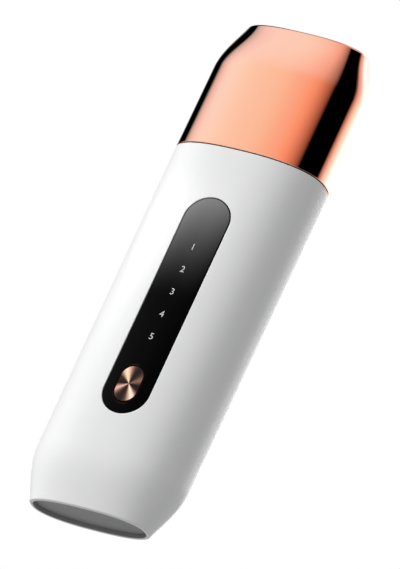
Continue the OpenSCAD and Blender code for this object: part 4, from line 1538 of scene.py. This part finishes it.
@dataclass
class Head:
    """White neck with its collar and crown, the soft gland in it, and the steel blade."""

    cap: CapForm = field(default_factory=CapForm)
    neck_z: float = 107.0
    collar_z: float = 130.0
    crown_z: float = 138.5
    crown_w: float = 36.0
    crown_d: float = 8.4
    crown_square: float = 2.4
    crown_round: float = 0.3
    crown_lap: float = 0.2
    crown_rise: float = 0.72
    wall: float = 1.8
    seat: float = 0.1
    collar_in: float = 1.8
    collar_lead: float = 0.6
    collar_end: float = 0.5
    rim_step: float = 0.8
    rim_t: float = 1.0
    bead: float = 0.6
    bead_top: float = 0.28
    bead_edge: float = 0.12
    fillet: float = 0.1
    slot_w: float = 30.0
    slot_d: float = 4.0
    room: float = 0.8
    room_low_z: float = 124.0
    room_high_z: float = 134.6
    bore_r: float = 8.8
    upper_bore_r: float = 7.9
    tip_bore_r: float = 4.2
    tip_bore_z: float = 131.4
    step_z: float = 114.8
    groove_z: float = 110.0
    groove_h: float = 1.2
    groove_deep: float = 0.7
    gland_fit: float = 0.02
    gland_round: float = 0.5
    slit_room: float = 0.1
    slit_edge: float = 0.15
    seal_low_z: float = 134.7
    seal_lip: float = 0.7
    root_w: float = 27.0
    blade_w: float = 30.0
    blade_t: float = 1.0
    blade_edge_t: float = 0.5
    tang_w: float = 8.0
    # Heights of the blade at which its width changes: end of the tang, its top, root, and full width
    tang_z: float = 125.8
    tang_top_z: float = 131.2
    root_z: float = 134.2
    flare_z: float = 140.0
    full_z: float = 145.0
    tip_z: float = 156.5
    bend: float = 35.0
    bend_r: float = 8.0
    lip: float = 5.0
    corner: float = 3.0
    # Counts of rings: along the collar, the crown, and the blade's tang, straight, bend and lip
    collar_rings: int = 6
    crown_rings: int = 20
    blade_rings: tuple[int, int, int, int] = (6, 24, 13, 21)
    # Rings up to the seat that is painted dark as the shadow in the gap under the cap, and the rings on it
    shadow_gap_rings: int = 6
    columns: int = 320
    # Points across the blade's flat and round its edge, and on the gland's round ends and straight sides
    blade_points: tuple[int, int] = (25, 7)
    gland_points: tuple[int, int] = (20, 40)
    # Shares of the way from the gland's rounded lip to its slit
    gland_shares: tuple[float, float] = (0.5, 0.92)
    white: Finish = Moulded((0.83, 0.832, 0.836), 0.34, grain=3.0, relief=0.0, clouding=0.01)
    # Near black painted on the flange and bead in the gap under the cap: painted shadow of that gap
    shadow_gap_paint: Finish = Moulded((0.012, 0.012, 0.013), 0.6, grain=5.0, relief=0.004)
    soft: Finish = Moulded((0.24, 0.24, 0.25), 0.6, grain=5.0, relief=0.004)
    steel: Finish = Worked((0.62, 0.62, 0.63), 0.14, grain=Grain.BRUSHED_X, depth=0.002, wear=0.03)

    def plug_rows(self) -> list[tuple[Oval, float, float]]:
        """Rings of the neck up to its collar: plug with the seal's groove, flange, bead and collar.

        Returns:
            Section, inset and height of each ring.
        """
        body, joint = self.cap.body, self.cap.body.joint_z
        throat = body.section(np.array([self.neck_z])).drawn_in(self.wall)
        mouth = body.section(np.array([joint])).drawn_in(self.wall)
        collar = self.cap.section(np.array([self.collar_z])).drawn_in(self.collar_in)
        seat, bead, e = self.seat, self.bead, self.bead_edge
        g0, g1, gd = self.groove_z, self.groove_z + self.groove_h, self.groove_deep
        low, bead_z = joint - self.rim_t, joint + self.bead_top
        rows = [(throat, inset, z) for inset, z in (
            (seat, self.neck_z), (seat, g0), (seat + gd, g0), (seat + gd, g1), (seat, g1), (seat, low),
        )]
        rows += [(mouth, seat - self.rim_step, low), (mouth, seat - self.rim_step, joint)]
        rows += [(collar, inset, z) for inset, z in (
            (-bead, joint), (-bead, bead_z - e), (-bead + e, bead_z), (self.fillet, bead_z),
            (0.0, bead_z + self.fillet),
        )]
        low, high = bead_z + self.collar_lead, self.collar_z - self.collar_end
        straight = np.linspace(low, high, self.collar_rings)
        return rows + [(collar, 0.0, z) for z in straight]

    def crown(self, angle: Array) -> list[Array]:
        """Rings of the crown, from the collar to its rounded top edge.

        In words: the section eases from the collar's to the crown's own as it rises.

        Args:
            angle: parameter of each point of a ring.

        Returns:
            Points of the rings, in two or more blocks.
        """
        collar = self.cap.section(np.array([self.collar_z])).drawn_in(self.collar_in)
        rise = np.linspace(0, 1, self.crown_rings)
        s = ease(rise, self.crown_rise)
        top = Oval(np.array([self.crown_w / 2]), np.array([self.crown_d / 2]), np.array([self.crown_square]))
        side = Oval(
            mix(collar.half_w, top.half_w, s), mix(collar.half_d, top.half_d, s),
            mix(collar.square, top.square, s),
        )
        z = mix(self.collar_z - self.crown_lap, self.crown_z - self.crown_round - HOLD, rise)
        edge = list(zip(*quarter(self.crown_round)))[1:]
        return [side.rings(angle, z)] + [
            top.drawn_in(inward).rings(angle, np.array([self.crown_z - up])) for up, inward in edge
        ]

    def bore(self, way: Array) -> list[Array]:
        """Rings inside the neck, down from the slot: its room, the tip's bore and the two wide bores.

        In words: each ring is the largest reach of its outlines along each direction.

        Args:
            way: unit direction (x, y) of each point of a ring.

        Returns:
            Points of the rings.
        """
        slot, room = (Stadium(self.slot_w + 2 * by, self.slot_d + 2 * by) for by in (0.0, self.room))
        tip, upper, bore = (Stadium(2 * r, 2 * r) for r in (self.tip_bore_r, self.upper_bore_r, self.bore_r))
        rings = []
        for z, outlines in (
            (self.crown_z, (slot,)), (self.room_high_z, (slot,)), (self.room_high_z, (room,)),
            (self.tip_bore_z, (room,)), (self.tip_bore_z, (room, tip)), (self.room_low_z, (room, tip)),
            (self.room_low_z, (upper,)), (self.step_z, (upper,)),
            (self.step_z, (bore,)), (self.neck_z, (bore,)),
        ):
            reach = np.max([one.reach(way) for one in outlines], axis=0)[:, None]
            rings.append(np.insert(way * reach, 2, z, axis=1)[None])
        return rings

    def neck(self) -> bpy.types.Object:
        """Builds the neck as closed rings: plug, flange, bead, collar, crown, slot and bore.

        Returns:
            The neck.
        """
        angle = all_round(self.columns)
        grid = [o.drawn_in(inset).rings(angle, np.array([z])) for o, inset, z in self.plug_rows()]
        grid += self.crown(angle)
        crest = grid[-1][0, :, :2]
        grid += self.bore(crest / np.linalg.norm(crest, axis=1, keepdims=True))
        # Slot 1, the painted shadow, goes on the rings in the cap's gap
        slots = [0] * self.shadow_gap_rings + [1] * self.shadow_gap_rings
        neck = swept("head_neck", np.concatenate(grid), sharp=40, round_path=True, slots=slots)
        return fit(neck, (self.white, self.shadow_gap_paint), "body", "neck_white", "neck")

    def gland(self) -> bpy.types.Object:
        """Builds the soft gland: a round-ended block with a rounded lip and a slit for the blade.

        Returns:
            The gland.
        """
        outline = Stadium(self.slot_w - self.gland_fit, self.slot_d - self.gland_fit)
        track = outline.track(*self.gland_points)
        slit = Stadium(self.root_w + self.slit_room, self.blade_t + self.slit_room)
        rim, shoulder = track.at(0.0), track.at(-self.gland_round)
        way = rim / np.linalg.norm(rim, axis=1, keepdims=True)
        inner = way * slit.reach(way)[:, None]
        top = self.crown_z + self.seal_lip
        rows = [(rim, self.seal_low_z), (rim, self.crown_z)]
        rows += [(track.at(-across), top - fall) for fall, across in zip(*quarter(self.gland_round))]
        rows += [(mix(shoulder, inner, share), top) for share in self.gland_shares]
        rows += [(inner, top - self.slit_edge), (inner, self.seal_low_z)]
        grid = np.stack([np.insert(xy, 2, z, axis=1) for xy, z in rows])
        gland = swept("blade_gland", grid, sharp=40, round_path=True)
        return fit(gland, self.soft, "body", "silicone_grey", "blade_seal")

    def width_at(self, z: Array) -> Array:
        """Half width of the blade by height: tang, flared root, full width, and round tip corners.

        In words: straight lines between the tang, the root and the full width; within a corner's radius
        of the tip, the half width falls as a circle of that radius.

        Args:
            z: heights.

        Returns:
            Half width at each height.
        """
        heights = [self.tang_z, self.tang_top_z, self.root_z, self.flare_z, self.full_z, self.tip_z]
        widths = [self.tang_w, self.tang_w, self.root_w, self.root_w, self.blade_w, self.blade_w]
        past = np.clip(z - (self.tip_z - self.corner), 0, self.corner)
        return np.interp(z, heights, np.array(widths) / 2) - self.corner + np.sqrt(self.corner**2 - past**2)

    def centre_line(self) -> tuple[Array, Array, Array, Array]:
        """Middle of the blade's thickness, from the tang to the working edge.

        In words: it runs straight up, turns towards -Y on a circle through the bend's angle and goes
        straight on for the lip; the thickness falls to the working edge along the lip.

        Returns:
            Y, z, tilt in radians and half thickness of each section.
        """
        turn, r = np.radians(self.bend), self.bend_r
        rise = r * np.sin(turn) + self.lip * np.cos(turn)
        bend_z = self.tip_z - rise - self.blade_edge_t / 2 * np.sin(turn)
        tang, plain, bent, lip = self.blade_rings
        straight = np.unique(np.concatenate([
            [self.tang_z, self.tang_top_z, self.root_z, self.flare_z, self.full_z],
            np.linspace(self.root_z, bend_z, plain), np.linspace(self.tang_z, self.root_z, tang),
        ]))
        a, s = np.linspace(0, turn, bent + 1)[1:], np.linspace(0, self.lip, lip + 1)[1:]
        end_y, end_z = -r * (1 - np.cos(turn)), bend_z + r * np.sin(turn)
        y = np.concatenate([0 * straight, -r * (1 - np.cos(a)), end_y - s * np.sin(turn)])
        z = np.concatenate([straight, bend_z + r * np.sin(a), end_z + s * np.cos(turn)])
        tilt = np.concatenate([0 * straight, a, np.full(len(s), turn)])
        half_t = np.concatenate([
            np.full(len(straight) + len(a), self.blade_t / 2),
            mix(self.blade_t / 2, self.blade_edge_t / 2, s / self.lip),
        ])
        return y, z, tilt, half_t

    def blade(self) -> bpy.types.Object:
        """Builds the blade as flat round-edged sections along its bent centre line.

        In words: a section is flat but for half circles at its two ends, and the first and the last
        shrink to the centre line.

        Returns:
            The blade.
        """
        y, z, tilt, half_t = (np.concatenate([v[:1], v, v[-1:]]) for v in self.centre_line())
        wide, edge = self.blade_points
        flat, end = np.linspace(-1, 1, wide), np.cos(np.linspace(0, np.pi, edge + 2)[1:-1])
        across = np.concatenate([flat, np.ones(edge), flat[::-1], -np.ones(edge)])
        lift = np.concatenate([np.ones(wide), end, -np.ones(wide), -end])
        bulge = np.sqrt(1 - lift**2) * np.sign(across)
        grow = half_t[:, None].copy()
        grow[[0, -1]] = 0.0
        x = (self.width_at(z) - half_t)[:, None] * across + grow * bulge
        n, y, z, tilt = grow * lift, y[:, None], z[:, None], tilt[:, None]
        grid = np.stack([x, y + n * np.cos(tilt), z + n * np.sin(tilt)], -1)
        blade = swept("spatula_blade", grid, sharp=40)
        return fit(blade, self.steel, "body", "blade_steel", "blade")

    def build(self) -> None:
        """Builds the head's pieces."""
        self.neck()
        self.gland()
        self.blade()


@dataclass
class Cap:
    """Mirror-finished cap, hollow for the blade."""

    form: CapForm = field(default_factory=CapForm)
    gap: float = 0.3
    wall: float = 1.5
    top_t: float = 1.8
    edge: float = 1.0
    lip: float = 0.2
    # Inset of the flat top's rings, inwards
    flat: tuple[float, ...] = (1.5, 2.4, 4.0, 6.0)
    # Counts of rings below the shoulder and along it, outside and inside, and round the top edge
    outer_rings: tuple[int, int] = (13, 39)
    inner_rings: tuple[int, int] = (7, 24)
    round_rings: int = 13
    columns: int = 384
    finish: Finish = MirrorPlate((0.96, 0.49, 0.33), 0.016)
    inside: Finish = Worked((0.72, 0.5, 0.42), 0.42, depth=0.004)

    def build(self) -> bpy.types.Object:
        """Builds the cap: rings up the outside, over the rounded top edge, and down the inside.

        In words: sections of the cap's form; a quarter circle turns the side into the flat top, whose
        rings shrink to its middle; the inside is the same form drawn in by the wall.

        Returns:
            The cap.
        """
        angle = all_round(self.columns)
        low, top = self.form.body.joint_z + self.gap, self.form.top_z
        shoulder, inner_top = top - self.form.shoulder_h, top - self.top_t
        lower, upper = low + self.lip, top - self.edge - HOLD
        foot = [(low + up, low, inward) for up, inward in zip(*quarter(self.lip))][::-1]
        below, above = self.outer_rings
        side = [(z, z, 0.0) for z in np.concatenate([
            np.linspace(lower + HOLD, shoulder, below + 1)[1:], np.linspace(shoulder, upper, above + 1)[1:],
        ])]
        edge = [(top - up, top - up, inward) for up, inward in zip(*quarter(self.edge, self.round_rings))][1:]
        below, above = self.inner_rings
        hollow = [(z, z, self.wall) for z in np.concatenate([
            np.linspace(inner_top, shoulder, above), np.linspace(shoulder, lower, below + 1)[1:],
        ])]
        lip = [(low + up, low, self.wall - inward) for up, inward in zip(*quarter(self.lip))][1:]
        outer, inner = (self.rings(angle, rows) for rows in (
            foot + side + edge + [(top, top, d) for d in self.flat], hollow + lip,
        ))
        pole = np.zeros((1, self.columns, 3))
        cap = Surface()
        index = cap.rings(np.concatenate([outer, pole + [0, 0, top]]))
        under = cap.rings(np.concatenate([pole + [0, 0, inner_top], inner]), slots=[1] * len(hollow))
        cap.skin(np.stack([under[-1], index[0]]))
        return fit(cap.make("mirror_cap", sharp=60), (self.finish, self.inside), "cap", "rose_gold", "cap")

    def rings(self, angle: Array, rows: Sequence[Row]) -> Array:
        """Points of rings given as height, height whose section they take, and inset."""
        z, taken, inset = np.array(rows).T
        return self.form.section(taken).drawn_in(inset).rings(angle, z)


@dataclass
class InnerParts:
    """Finishes of the CAD nodes inside, which keep their own meshes."""

    finishes: dict[str, Finish] = field(default_factory=lambda: {
        "panel_adhesive": Moulded((0.035, 0.035, 0.035), 0.8, grain=5.0, relief=0.05),
        "key_carrier": Moulded((0.02, 0.02, 0.022), 0.5),
        "switch_body": Moulded((0.025, 0.025, 0.027), 0.45),
        "switch_plunger": Moulded((0.7, 0.64, 0.5), 0.4),
        "light_baffle": Moulded((0.02, 0.02, 0.022), 0.6),
        "mode_leds": Moulded((0.82, 0.8, 0.68), 0.3, coat=0.3),
        "main_board": Circuit((0.02, 0.14, 0.05), 0.35),
        "board_screws": Worked((0.7, 0.69, 0.67), 0.25, grain=Grain.TURNED),
        "controller_chip": Moulded((0.015, 0.015, 0.017), 0.5, grain=6.0, relief=0.01),
        "power_chips": Moulded((0.015, 0.015, 0.017), 0.5, grain=6.0, relief=0.01),
        "drive_transformer": Wound((0.6, 0.3, 0.12), 0.35),
        "transformer_core": Worked((0.09, 0.09, 0.1), 0.55, grain=Grain.CAST, depth=0.02),
        "board_capacitors": Moulded((0.36, 0.26, 0.15), 0.5, grain=3.0, relief=0.01),
        "chassis": Moulded((0.42, 0.42, 0.4), 0.5, grain=3.0, relief=0.01),
        "chassis_screws": Worked((0.7, 0.69, 0.67), 0.25, grain=Grain.TURNED),
        "battery": Worked((0.55, 0.57, 0.6), 0.35, grain=Grain.CAST, depth=0.03),
        "battery_tape": Moulded((0.62, 0.42, 0.06), 0.4),
        "battery_leads": Moulded((0.5, 0.02, 0.015), 0.42),
        "neck_seal": Moulded((0.03, 0.03, 0.033), 0.6),
        "blade_pin": Worked((0.3, 0.3, 0.31), 0.3, grain=Grain.BRUSHED_X),
        "horn": Worked((0.68, 0.68, 0.7), 0.24, grain=Grain.TURNED, depth=0.01),
        "piezo_rings": Moulded((0.55, 0.5, 0.38), 0.55, grain=2.0, relief=0.01),
        "contact_washers": Worked((0.68, 0.45, 0.14), 0.28, grain=Grain.BRUSHED_X),
        "back_mass": Worked((0.32, 0.32, 0.34), 0.3, grain=Grain.TURNED, depth=0.01),
        "clamp_bolt": Worked((0.28, 0.28, 0.3), 0.35, grain=Grain.TURNED),
        "isolation_rings": Moulded((0.04, 0.04, 0.043), 0.6),
        "transducer_leads": Moulded((0.02, 0.08, 0.4), 0.42),
        "charge_board": Circuit((0.02, 0.14, 0.05), 0.35),
        "charge_leads": Moulded((0.6, 0.16, 0.02), 0.42),
        "foot_seal": Moulded((0.03, 0.03, 0.033), 0.6),
    })

    def dress(self, nodes: Mapping[str, bpy.types.Object]) -> None:
        """Gives each inner node its material.

        Args:
            nodes: the CAD nodes by name.
        """
        for name, finish in self.finishes.items():
            mesh = nodes[name].data
            mesh.materials.clear()
            mesh.materials.append(finish.make(name + "_finish"))
            log.info("%s: CAD node, %s", name, type(finish).__name__.lower())


# Studio


def heading(azimuth: float, elevation: float = 0.0) -> Array:
    """Unit direction from the object: azimuth 0 is -Y and 90 is +X, in degrees."""
    a, e = np.radians(azimuth), np.radians(elevation)
    return np.array([np.sin(a) * np.cos(e), -np.cos(a) * np.cos(e), np.sin(e)])


@dataclass(frozen=True)
class Viewpoint:
    """Camera of the main view: a long lens in front, to the right and below, with a rolled frame."""

    azimuth: float = 29.41
    elevation: float = -21.02
    roll: float = 25.03
    distance: float = 4.252
    target_z: float = 0.0797
    slide: tuple[float, float] = (-0.103 * MM, -0.773 * MM)
    lens: float = 942.7
    sensor: float = 36.0
    clip: tuple[float, float] = (0.1, 100.0)

    def make(self) -> None:
        """Makes the camera, turned about its own line of sight, and slid in its frame.

        In words: the frame's right and up are the level and the upright direction turned by the roll.
        """
        away, level = heading(self.azimuth, self.elevation), heading(self.azimuth + 90)
        upright = np.cross(away, level)
        c, s = np.cos(np.radians(self.roll)), np.sin(np.radians(self.roll))
        right, up = c * level + s * upright, c * upright - s * level
        across, along = self.slide
        place = np.array([0, 0, self.target_z]) + away * self.distance + right * across + up * along
        data = bpy.data.cameras.new("camera")
        data.lens, data.sensor_width = self.lens, self.sensor
        data.clip_start, data.clip_end = self.clip
        camera = placed("camera", data)
        turned = np.identity(4)
        turned[:3] = np.stack([right, up, away, place], -1)
        camera.matrix_world = Matrix(turned.tolist())
        bpy.context.scene.camera = camera


@dataclass(frozen=True)
class Lamp:
    """Soft square lamp that faces the object: place in degrees and metres, size in metres, power in watts."""

    name: str
    azimuth: float
    power: float
    elevation: float = 10.0
    distance: float = 1.6
    size: float = 0.7
    aim_z: float = 0.08

    def make(self) -> None:
        """Makes the lamp; only the matt part of a surface sees it."""
        data = bpy.data.lights.new(self.name, "AREA")
        data.shape = "SQUARE"
        data.size, data.energy = self.size, self.power
        lamp = placed(self.name, data)
        way = Vector(heading(self.azimuth, self.elevation))
        at = Vector((0, 0, self.aim_z)) + way * self.distance
        lamp.matrix_world = Matrix.Translation(at) @ way.to_track_quat("Z", "Y").to_matrix().to_4x4()
        lamp.visible_glossy = lamp.visible_camera = False


@dataclass
class Studio:
    """White surround, floor and lamps, and the tents of light that glossy surfaces reflect."""

    ambient: float = 0.36
    lamps: tuple[Lamp, ...] = (
        Lamp("side_lamp", -61, 20.4), Lamp("front_lamp", -9, 4.3), Lamp("back_lamp", -168, 8.5, 14.0),
    )
    # Half width of the floor in metres, and the distances in millimetres over which it turns white
    floor_half: float = 3.0
    floor_fade: tuple[float, float] = (250.0, 900.0)
    floor_grey: Colour = (0.86, 0.86, 0.86)
    floor_glow: float = 0.4
    tent_r: float = 1.2
    tent_z: float = 0.1
    tent_gap: float = 0.01
    tent_grid: tuple[int, int] = (96, 48)
    peak: float = 3.0
    # Shares of the tent's radius, as heights, over which one ring of light passes into the next
    level_band: tuple[float, float] = (0.12, 0.3)
    steep_band: tuple[float, float] = (0.4, 0.66)
    # Overhead: heights over which the light passes into a dim colour, straight above last
    overhead: tuple[tuple[float, float, Colour], ...] = (
        (0.87, 0.9, (0.19, 0.2, 0.2)), (0.97, 0.985, (0.3, 0.3, 0.3)),
    )
    # Azimuth in degrees and the light that comes from there, for reflections that go up
    warm: Stops = (
        (-180, (2.2, 2.2, 2.2)), (-165, (1.7, 1.7, 1.7)), (-148, (1.4, 1.4, 1.4)),
        (-131, (0.37, 0.56, 0.65)), (-121, (0.0, 0.0, 0.0)), (-92, (0.0, 0.0, 0.0)),
        (-88, (0.22, 0.28, 0.32)), (-84, (0.6, 0.68, 0.72)), (-76.6, (0.92, 0.93, 1.1)),
        (-67, (1.02, 1.2, 1.4)), (-58.8, (1.03, 1.26, 1.45)), (-51.6, (1.03, 1.24, 1.4)),
        (-45.6, (1.03, 1.2, 1.25)), (-30, (1.02, 1.03, 1.0)), (-22, (1.02, 0.9, 0.8)),
        (-17.4, (1.02, 0.8, 0.71)), (-12, (1.02, 0.73, 0.65)), (-5.8, (1.02, 0.65, 0.5)),
        (1.6, (0.97, 0.51, 0.38)), (10, (0.69, 0.34, 0.24)), (20, (0.33, 0.14, 0.095)),
        (26, (0.0, 0.0, 0.0)), (84, (0.0, 0.0, 0.0)), (87, (0.05, 0.033, 0.03)), (92.4, (0.45, 0.27, 0.25)),
        (109.4, (1.04, 0.9, 0.9)), (125, (1.1, 1.45, 1.62)), (138.6, (1.4, 1.95, 2.3)),
        (148.6, (2.8, 2.85, 2.9)), (162, (2.9, 2.9, 2.9)), (180, (2.2, 2.2, 2.2)),
    )
    # The same for reflections that go up steeply, off the cap's shoulder
    steep: Stops = (
        (-180, (1.05, 1.15, 1.2)), (-145, (1.05, 1.15, 1.25)), (-130, (0.6, 0.85, 1.0)),
        (-119, (0.09, 0.14, 0.17)), (-113, (0.0, 0.0, 0.0)), (-87, (0.0, 0.0, 0.0)),
        (-84.5, (0.43, 0.5, 0.57)), (-78, (0.72, 0.82, 0.98)), (-68, (0.98, 1.06, 1.26)),
        (-55, (1.03, 1.21, 1.4)), (-42, (1.03, 1.18, 1.3)), (-25, (1.03, 1.02, 1.07)),
        (-10, (1.02, 0.81, 0.83)), (0, (0.94, 0.67, 0.66)), (20, (0.36, 0.24, 0.21)),
        (27.5, (0.0, 0.0, 0.0)), (84, (0.0, 0.0, 0.0)), (92, (0.18, 0.11, 0.11)), (99, (0.66, 0.46, 0.47)),
        (107, (0.86, 0.68, 0.71)), (118, (0.94, 0.88, 1.0)), (125, (1.0, 1.18, 1.35)),
        (135, (1.06, 1.8, 2.3)), (155, (1.02, 1.9, 2.5)), (180, (1.02, 1.4, 1.65)),
    )
    # The same in grey for reflections that go down, seen from above
    calm: tuple[tuple[float, float], ...] = (
        (-180, 0.95), (-138, 1.0), (-126, 0.06), (-100, 0.04), (-88, 0.5), (-70, 0.95), (-35, 1.0),
        (-8, 0.88), (14, 0.45), (28, 0.06), (76, 0.04), (92, 0.4), (112, 0.95), (145, 1.0), (180, 0.95),
    )
    # The card: azimuth, rise over run, half width, near and far distance from its root, all in metres
    card_azimuth: float = -29.4
    card_tilt: float = 0.1763
    card_half: float = 0.1
    card_root: tuple[float, float, float] = (0.0, -0.0123, 0.1145)
    card_reach: tuple[float, float] = (0.058, 0.54)
    # Its light: strength near the root and past its fade, the fade by millimetres, and the power of it
    card_light: tuple[float, float] = (7.2, 0.05)
    card_fade: tuple[float, float] = (1.2525, 0.0052)
    card_power: float = 2.2
    # Growth of the light by millimetres to the left, and its bounds
    card_left: float = 0.0185
    card_bounds: tuple[float, float] = (0.1, 2.5)

    def stage_mesh(self, name: str, points: Array, faces: Array) -> bpy.types.Object:
        """Makes an object of the stage.

        Args:
            name: name of the object.
            points: points in metres.
            faces: four point numbers for each face.

        Returns:
            The object.
        """
        mesh = bpy.data.meshes.new(name)
        mesh.from_pydata(points.tolist(), [], faces.tolist())
        made = placed(name, mesh)
        return made

    @staticmethod
    def only(made: bpy.types.Object, ray: str) -> None:
        """Lets only one kind of ray see an object."""
        for kind in ("camera", "diffuse", "glossy", "transmission", "volume_scatter", "shadow"):
            setattr(made, "visible_" + kind, kind == ray)

    @staticmethod
    def one_sided(graph: Graph, surface: Term) -> Term:
        """Surface that is clear when looked at from its back."""
        behind, clear = graph.term("ShaderNodeNewGeometry", output="Backfacing"), graph.clear()
        return graph.term("ShaderNodeMixShader", None, {0: behind, 1: surface, 2: clear})

    def floor(self) -> None:
        """Makes the floor: pale and matt near the object, and as white as the surround further off.

        It shows only from above, so that the main view can look up at the foot.
        """
        points = self.floor_half * np.array([[-1, -1, 0], [1, -1, 0], [1, 1, 0], [-1, 1, 0]])
        made = self.stage_mesh("floor", points, np.array([[0, 1, 2, 3]]))
        self.only(made, "camera")
        material, graph = blank("floor")
        x, y, _ = graph.axes(graph.place())
        far = graph.slope(graph.math("SQRT", x * x + y * y), *self.floor_fade)
        matt = graph.term("ShaderNodeBsdfDiffuse", None, {"Color": (*self.floor_grey, 1.0)})
        share = far * (1 - self.floor_glow) + self.floor_glow
        white = graph.glow((1.0, 1.0, 1.0), 1.0)
        top = graph.term("ShaderNodeMixShader", None, {0: share, 1: matt, 2: white})
        graph.output(self.one_sided(graph, top))
        made.data.materials.append(material)

    def tent_light(self, graph: Graph, radius: float, cap_only: bool) -> Term:
        """Light of a tent, as a share of its peak.

        In words: the light goes by azimuth, on one ring for reflections that go down, one for those that
        go up, and one for steep ones; the grey tent has the first ring again for the steep ones.

        Args:
            graph: graph that gets the nodes.
            radius: the tent's radius in metres.
            cap_only: whether it is the cap's tinted tent.

        Returns:
            The colour.
        """
        x, y, z = graph.axes(graph.place())
        rise = (z - self.tent_z / MM) / (radius / MM)
        turn = graph.math("ARCTAN2", x, -y) / (2 * np.pi) + 0.5
        calm = tuple((azimuth, (level,) * 3) for azimuth, level in self.calm)
        low, high, down = (
            graph.dial(ring, turn, self.peak) for ring in (self.warm, self.steep if cap_only else calm, calm)
        )
        if not cap_only:
            low = graph.term("ShaderNodeRGBToBW", None, {0: low})
        up = graph.blend(graph.slope(rise, *self.steep_band), low, high)
        light = graph.blend(graph.slope(rise, *self.level_band), down, up)
        if cap_only:
            for start, end, colour in self.overhead:
                light = graph.blend(graph.slope(rise, start, end), light, colour)
        return light

    def tent(self, name: str, radius: float, cap_only: bool) -> None:
        """Makes a tent, a sphere of light seen only in reflections.

        Args:
            name: name of the tent.
            radius: radius in metres.
            cap_only: whether it is the cap's tinted tent, which lets the other one through, or the grey
                one of all other pieces.
        """
        across, up = self.tent_grid
        azimuth, rise = np.meshgrid(
            np.linspace(-np.pi, np.pi, across + 1), np.linspace(-np.pi / 2, np.pi / 2, up + 1),
        )
        points = radius * np.stack([
            np.sin(azimuth) * np.cos(rise), -np.cos(azimuth) * np.cos(rise), np.sin(rise),
        ], -1).reshape(-1, 3) + [0, 0, self.tent_z]
        number = np.arange((across + 1) * (up + 1)).reshape(up + 1, across + 1)
        a, b = number[:-1, :-1].ravel(), number[1:, :-1].ravel()
        made = self.stage_mesh(name, points, np.stack([a, a + 1, b + 1, b], -1))
        self.only(made, "glossy")
        material, graph = blank(name)
        glow = graph.glow(self.tent_light(graph, radius, cap_only), self.peak)
        if cap_only:
            glow = graph.term("ShaderNodeAddShader", None, {0: glow, 1: graph.clear()})
        graph.output(glow)
        made.data.materials.append(material)

    @staticmethod
    def share_tents(cap: bpy.types.Object) -> None:
        """Gives the tinted tent's light to the cap alone, and the grey one's to all but the cap.

        Args:
            cap: the cap.
        """
        for name, state in (("cap_tent", "INCLUDE"), ("grey_tent", "EXCLUDE")):
            receivers = bpy.data.collections.new(name + "_receivers")
            receivers.objects.link(cap)
            receivers.collection_objects[0].light_linking.link_state = state
            bpy.data.objects[name].light_linking.receiver_collection = receivers

    def panel_card(self) -> None:
        """Makes the card that the panel reflects: it rises gently away from the body and darkens.

        It shows only from below its own slope, so that no surface seen from level or above reflects it.
        In words: its light falls with the distance along it, as a power, and grows to its left.
        """
        away, root = heading(self.card_azimuth), np.array(self.card_root)
        side = np.cross(away, [0, 0, 1]) * self.card_half
        near, far = (root + (away + [0, 0, self.card_tilt]) * d for d in self.card_reach)
        points = np.array([near + side, near - side, far - side, far + side])
        made = self.stage_mesh("panel_card", points, np.array([[0, 1, 2, 3]]))
        self.only(made, "glossy")
        material, graph = blank("panel_card")
        x, y, _ = graph.axes(graph.place())
        gone = (y - self.card_root[1] / MM) * away[1] + x * away[0]
        aside = heading(self.card_azimuth - 90)
        left = graph.limit(1.0 + (x * aside[0] + y * aside[1]) * self.card_left, *self.card_bounds)
        start, fall = self.card_fade
        full, least = self.card_light
        strength = (graph.limit(start - gone * fall) ** self.card_power * full + least) * left
        graph.output(self.one_sided(graph, graph.glow((1.0, 1.0, 1.0), strength)))
        made.data.materials.append(material)

    def surround(self) -> None:
        """Makes the world: white where it is seen or reflected, and plain ambient light on matt surfaces."""
        world = bpy.data.worlds.new("surround")
        bpy.context.scene.world = world
        world.use_nodes = True
        graph = Graph(world.node_tree)
        rays = graph.node("ShaderNodeLightPath")
        kinds = ("Is Camera Ray", "Is Glossy Ray", "Is Transmission Ray")
        seen, glossy, through = (Term(graph, rays.outputs[kind]) for kind in kinds)
        shown = graph.math("MAXIMUM", seen, graph.math("MAXIMUM", glossy, through))
        strength = self.ambient + shown * (1 - self.ambient)
        back = graph.term("ShaderNodeBackground", None, {"Color": (1, 1, 1, 1), "Strength": strength})
        graph.node("ShaderNodeOutputWorld", None, {"Surface": back})

    def build(self) -> None:
        """Builds the stage and sets how the picture is shown."""
        Viewpoint().make()
        self.surround()
        self.floor()
        self.tent("cap_tent", self.tent_r, True)
        self.tent("grey_tent", self.tent_r + self.tent_gap, False)
        self.panel_card()
        for lamp in self.lamps:
            lamp.make()
        bpy.context.scene.view_settings.view_transform = "Standard"


def main() -> None:
    """Builds the studio and the pieces, in order."""
    logging.basicConfig(level=logging.INFO, format="%(name)s %(message)s", stream=sys.stdout)
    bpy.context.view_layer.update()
    studio = Studio()
    studio.build()
    Sleeve().build()
    ControlPanel().build()
    Foot().build()
    ChargePort().build()
    Head().build()
    studio.share_tents(Cap().build())
    InnerParts().dress(frame["nodes"])


if __name__ == "__main__":
    main()
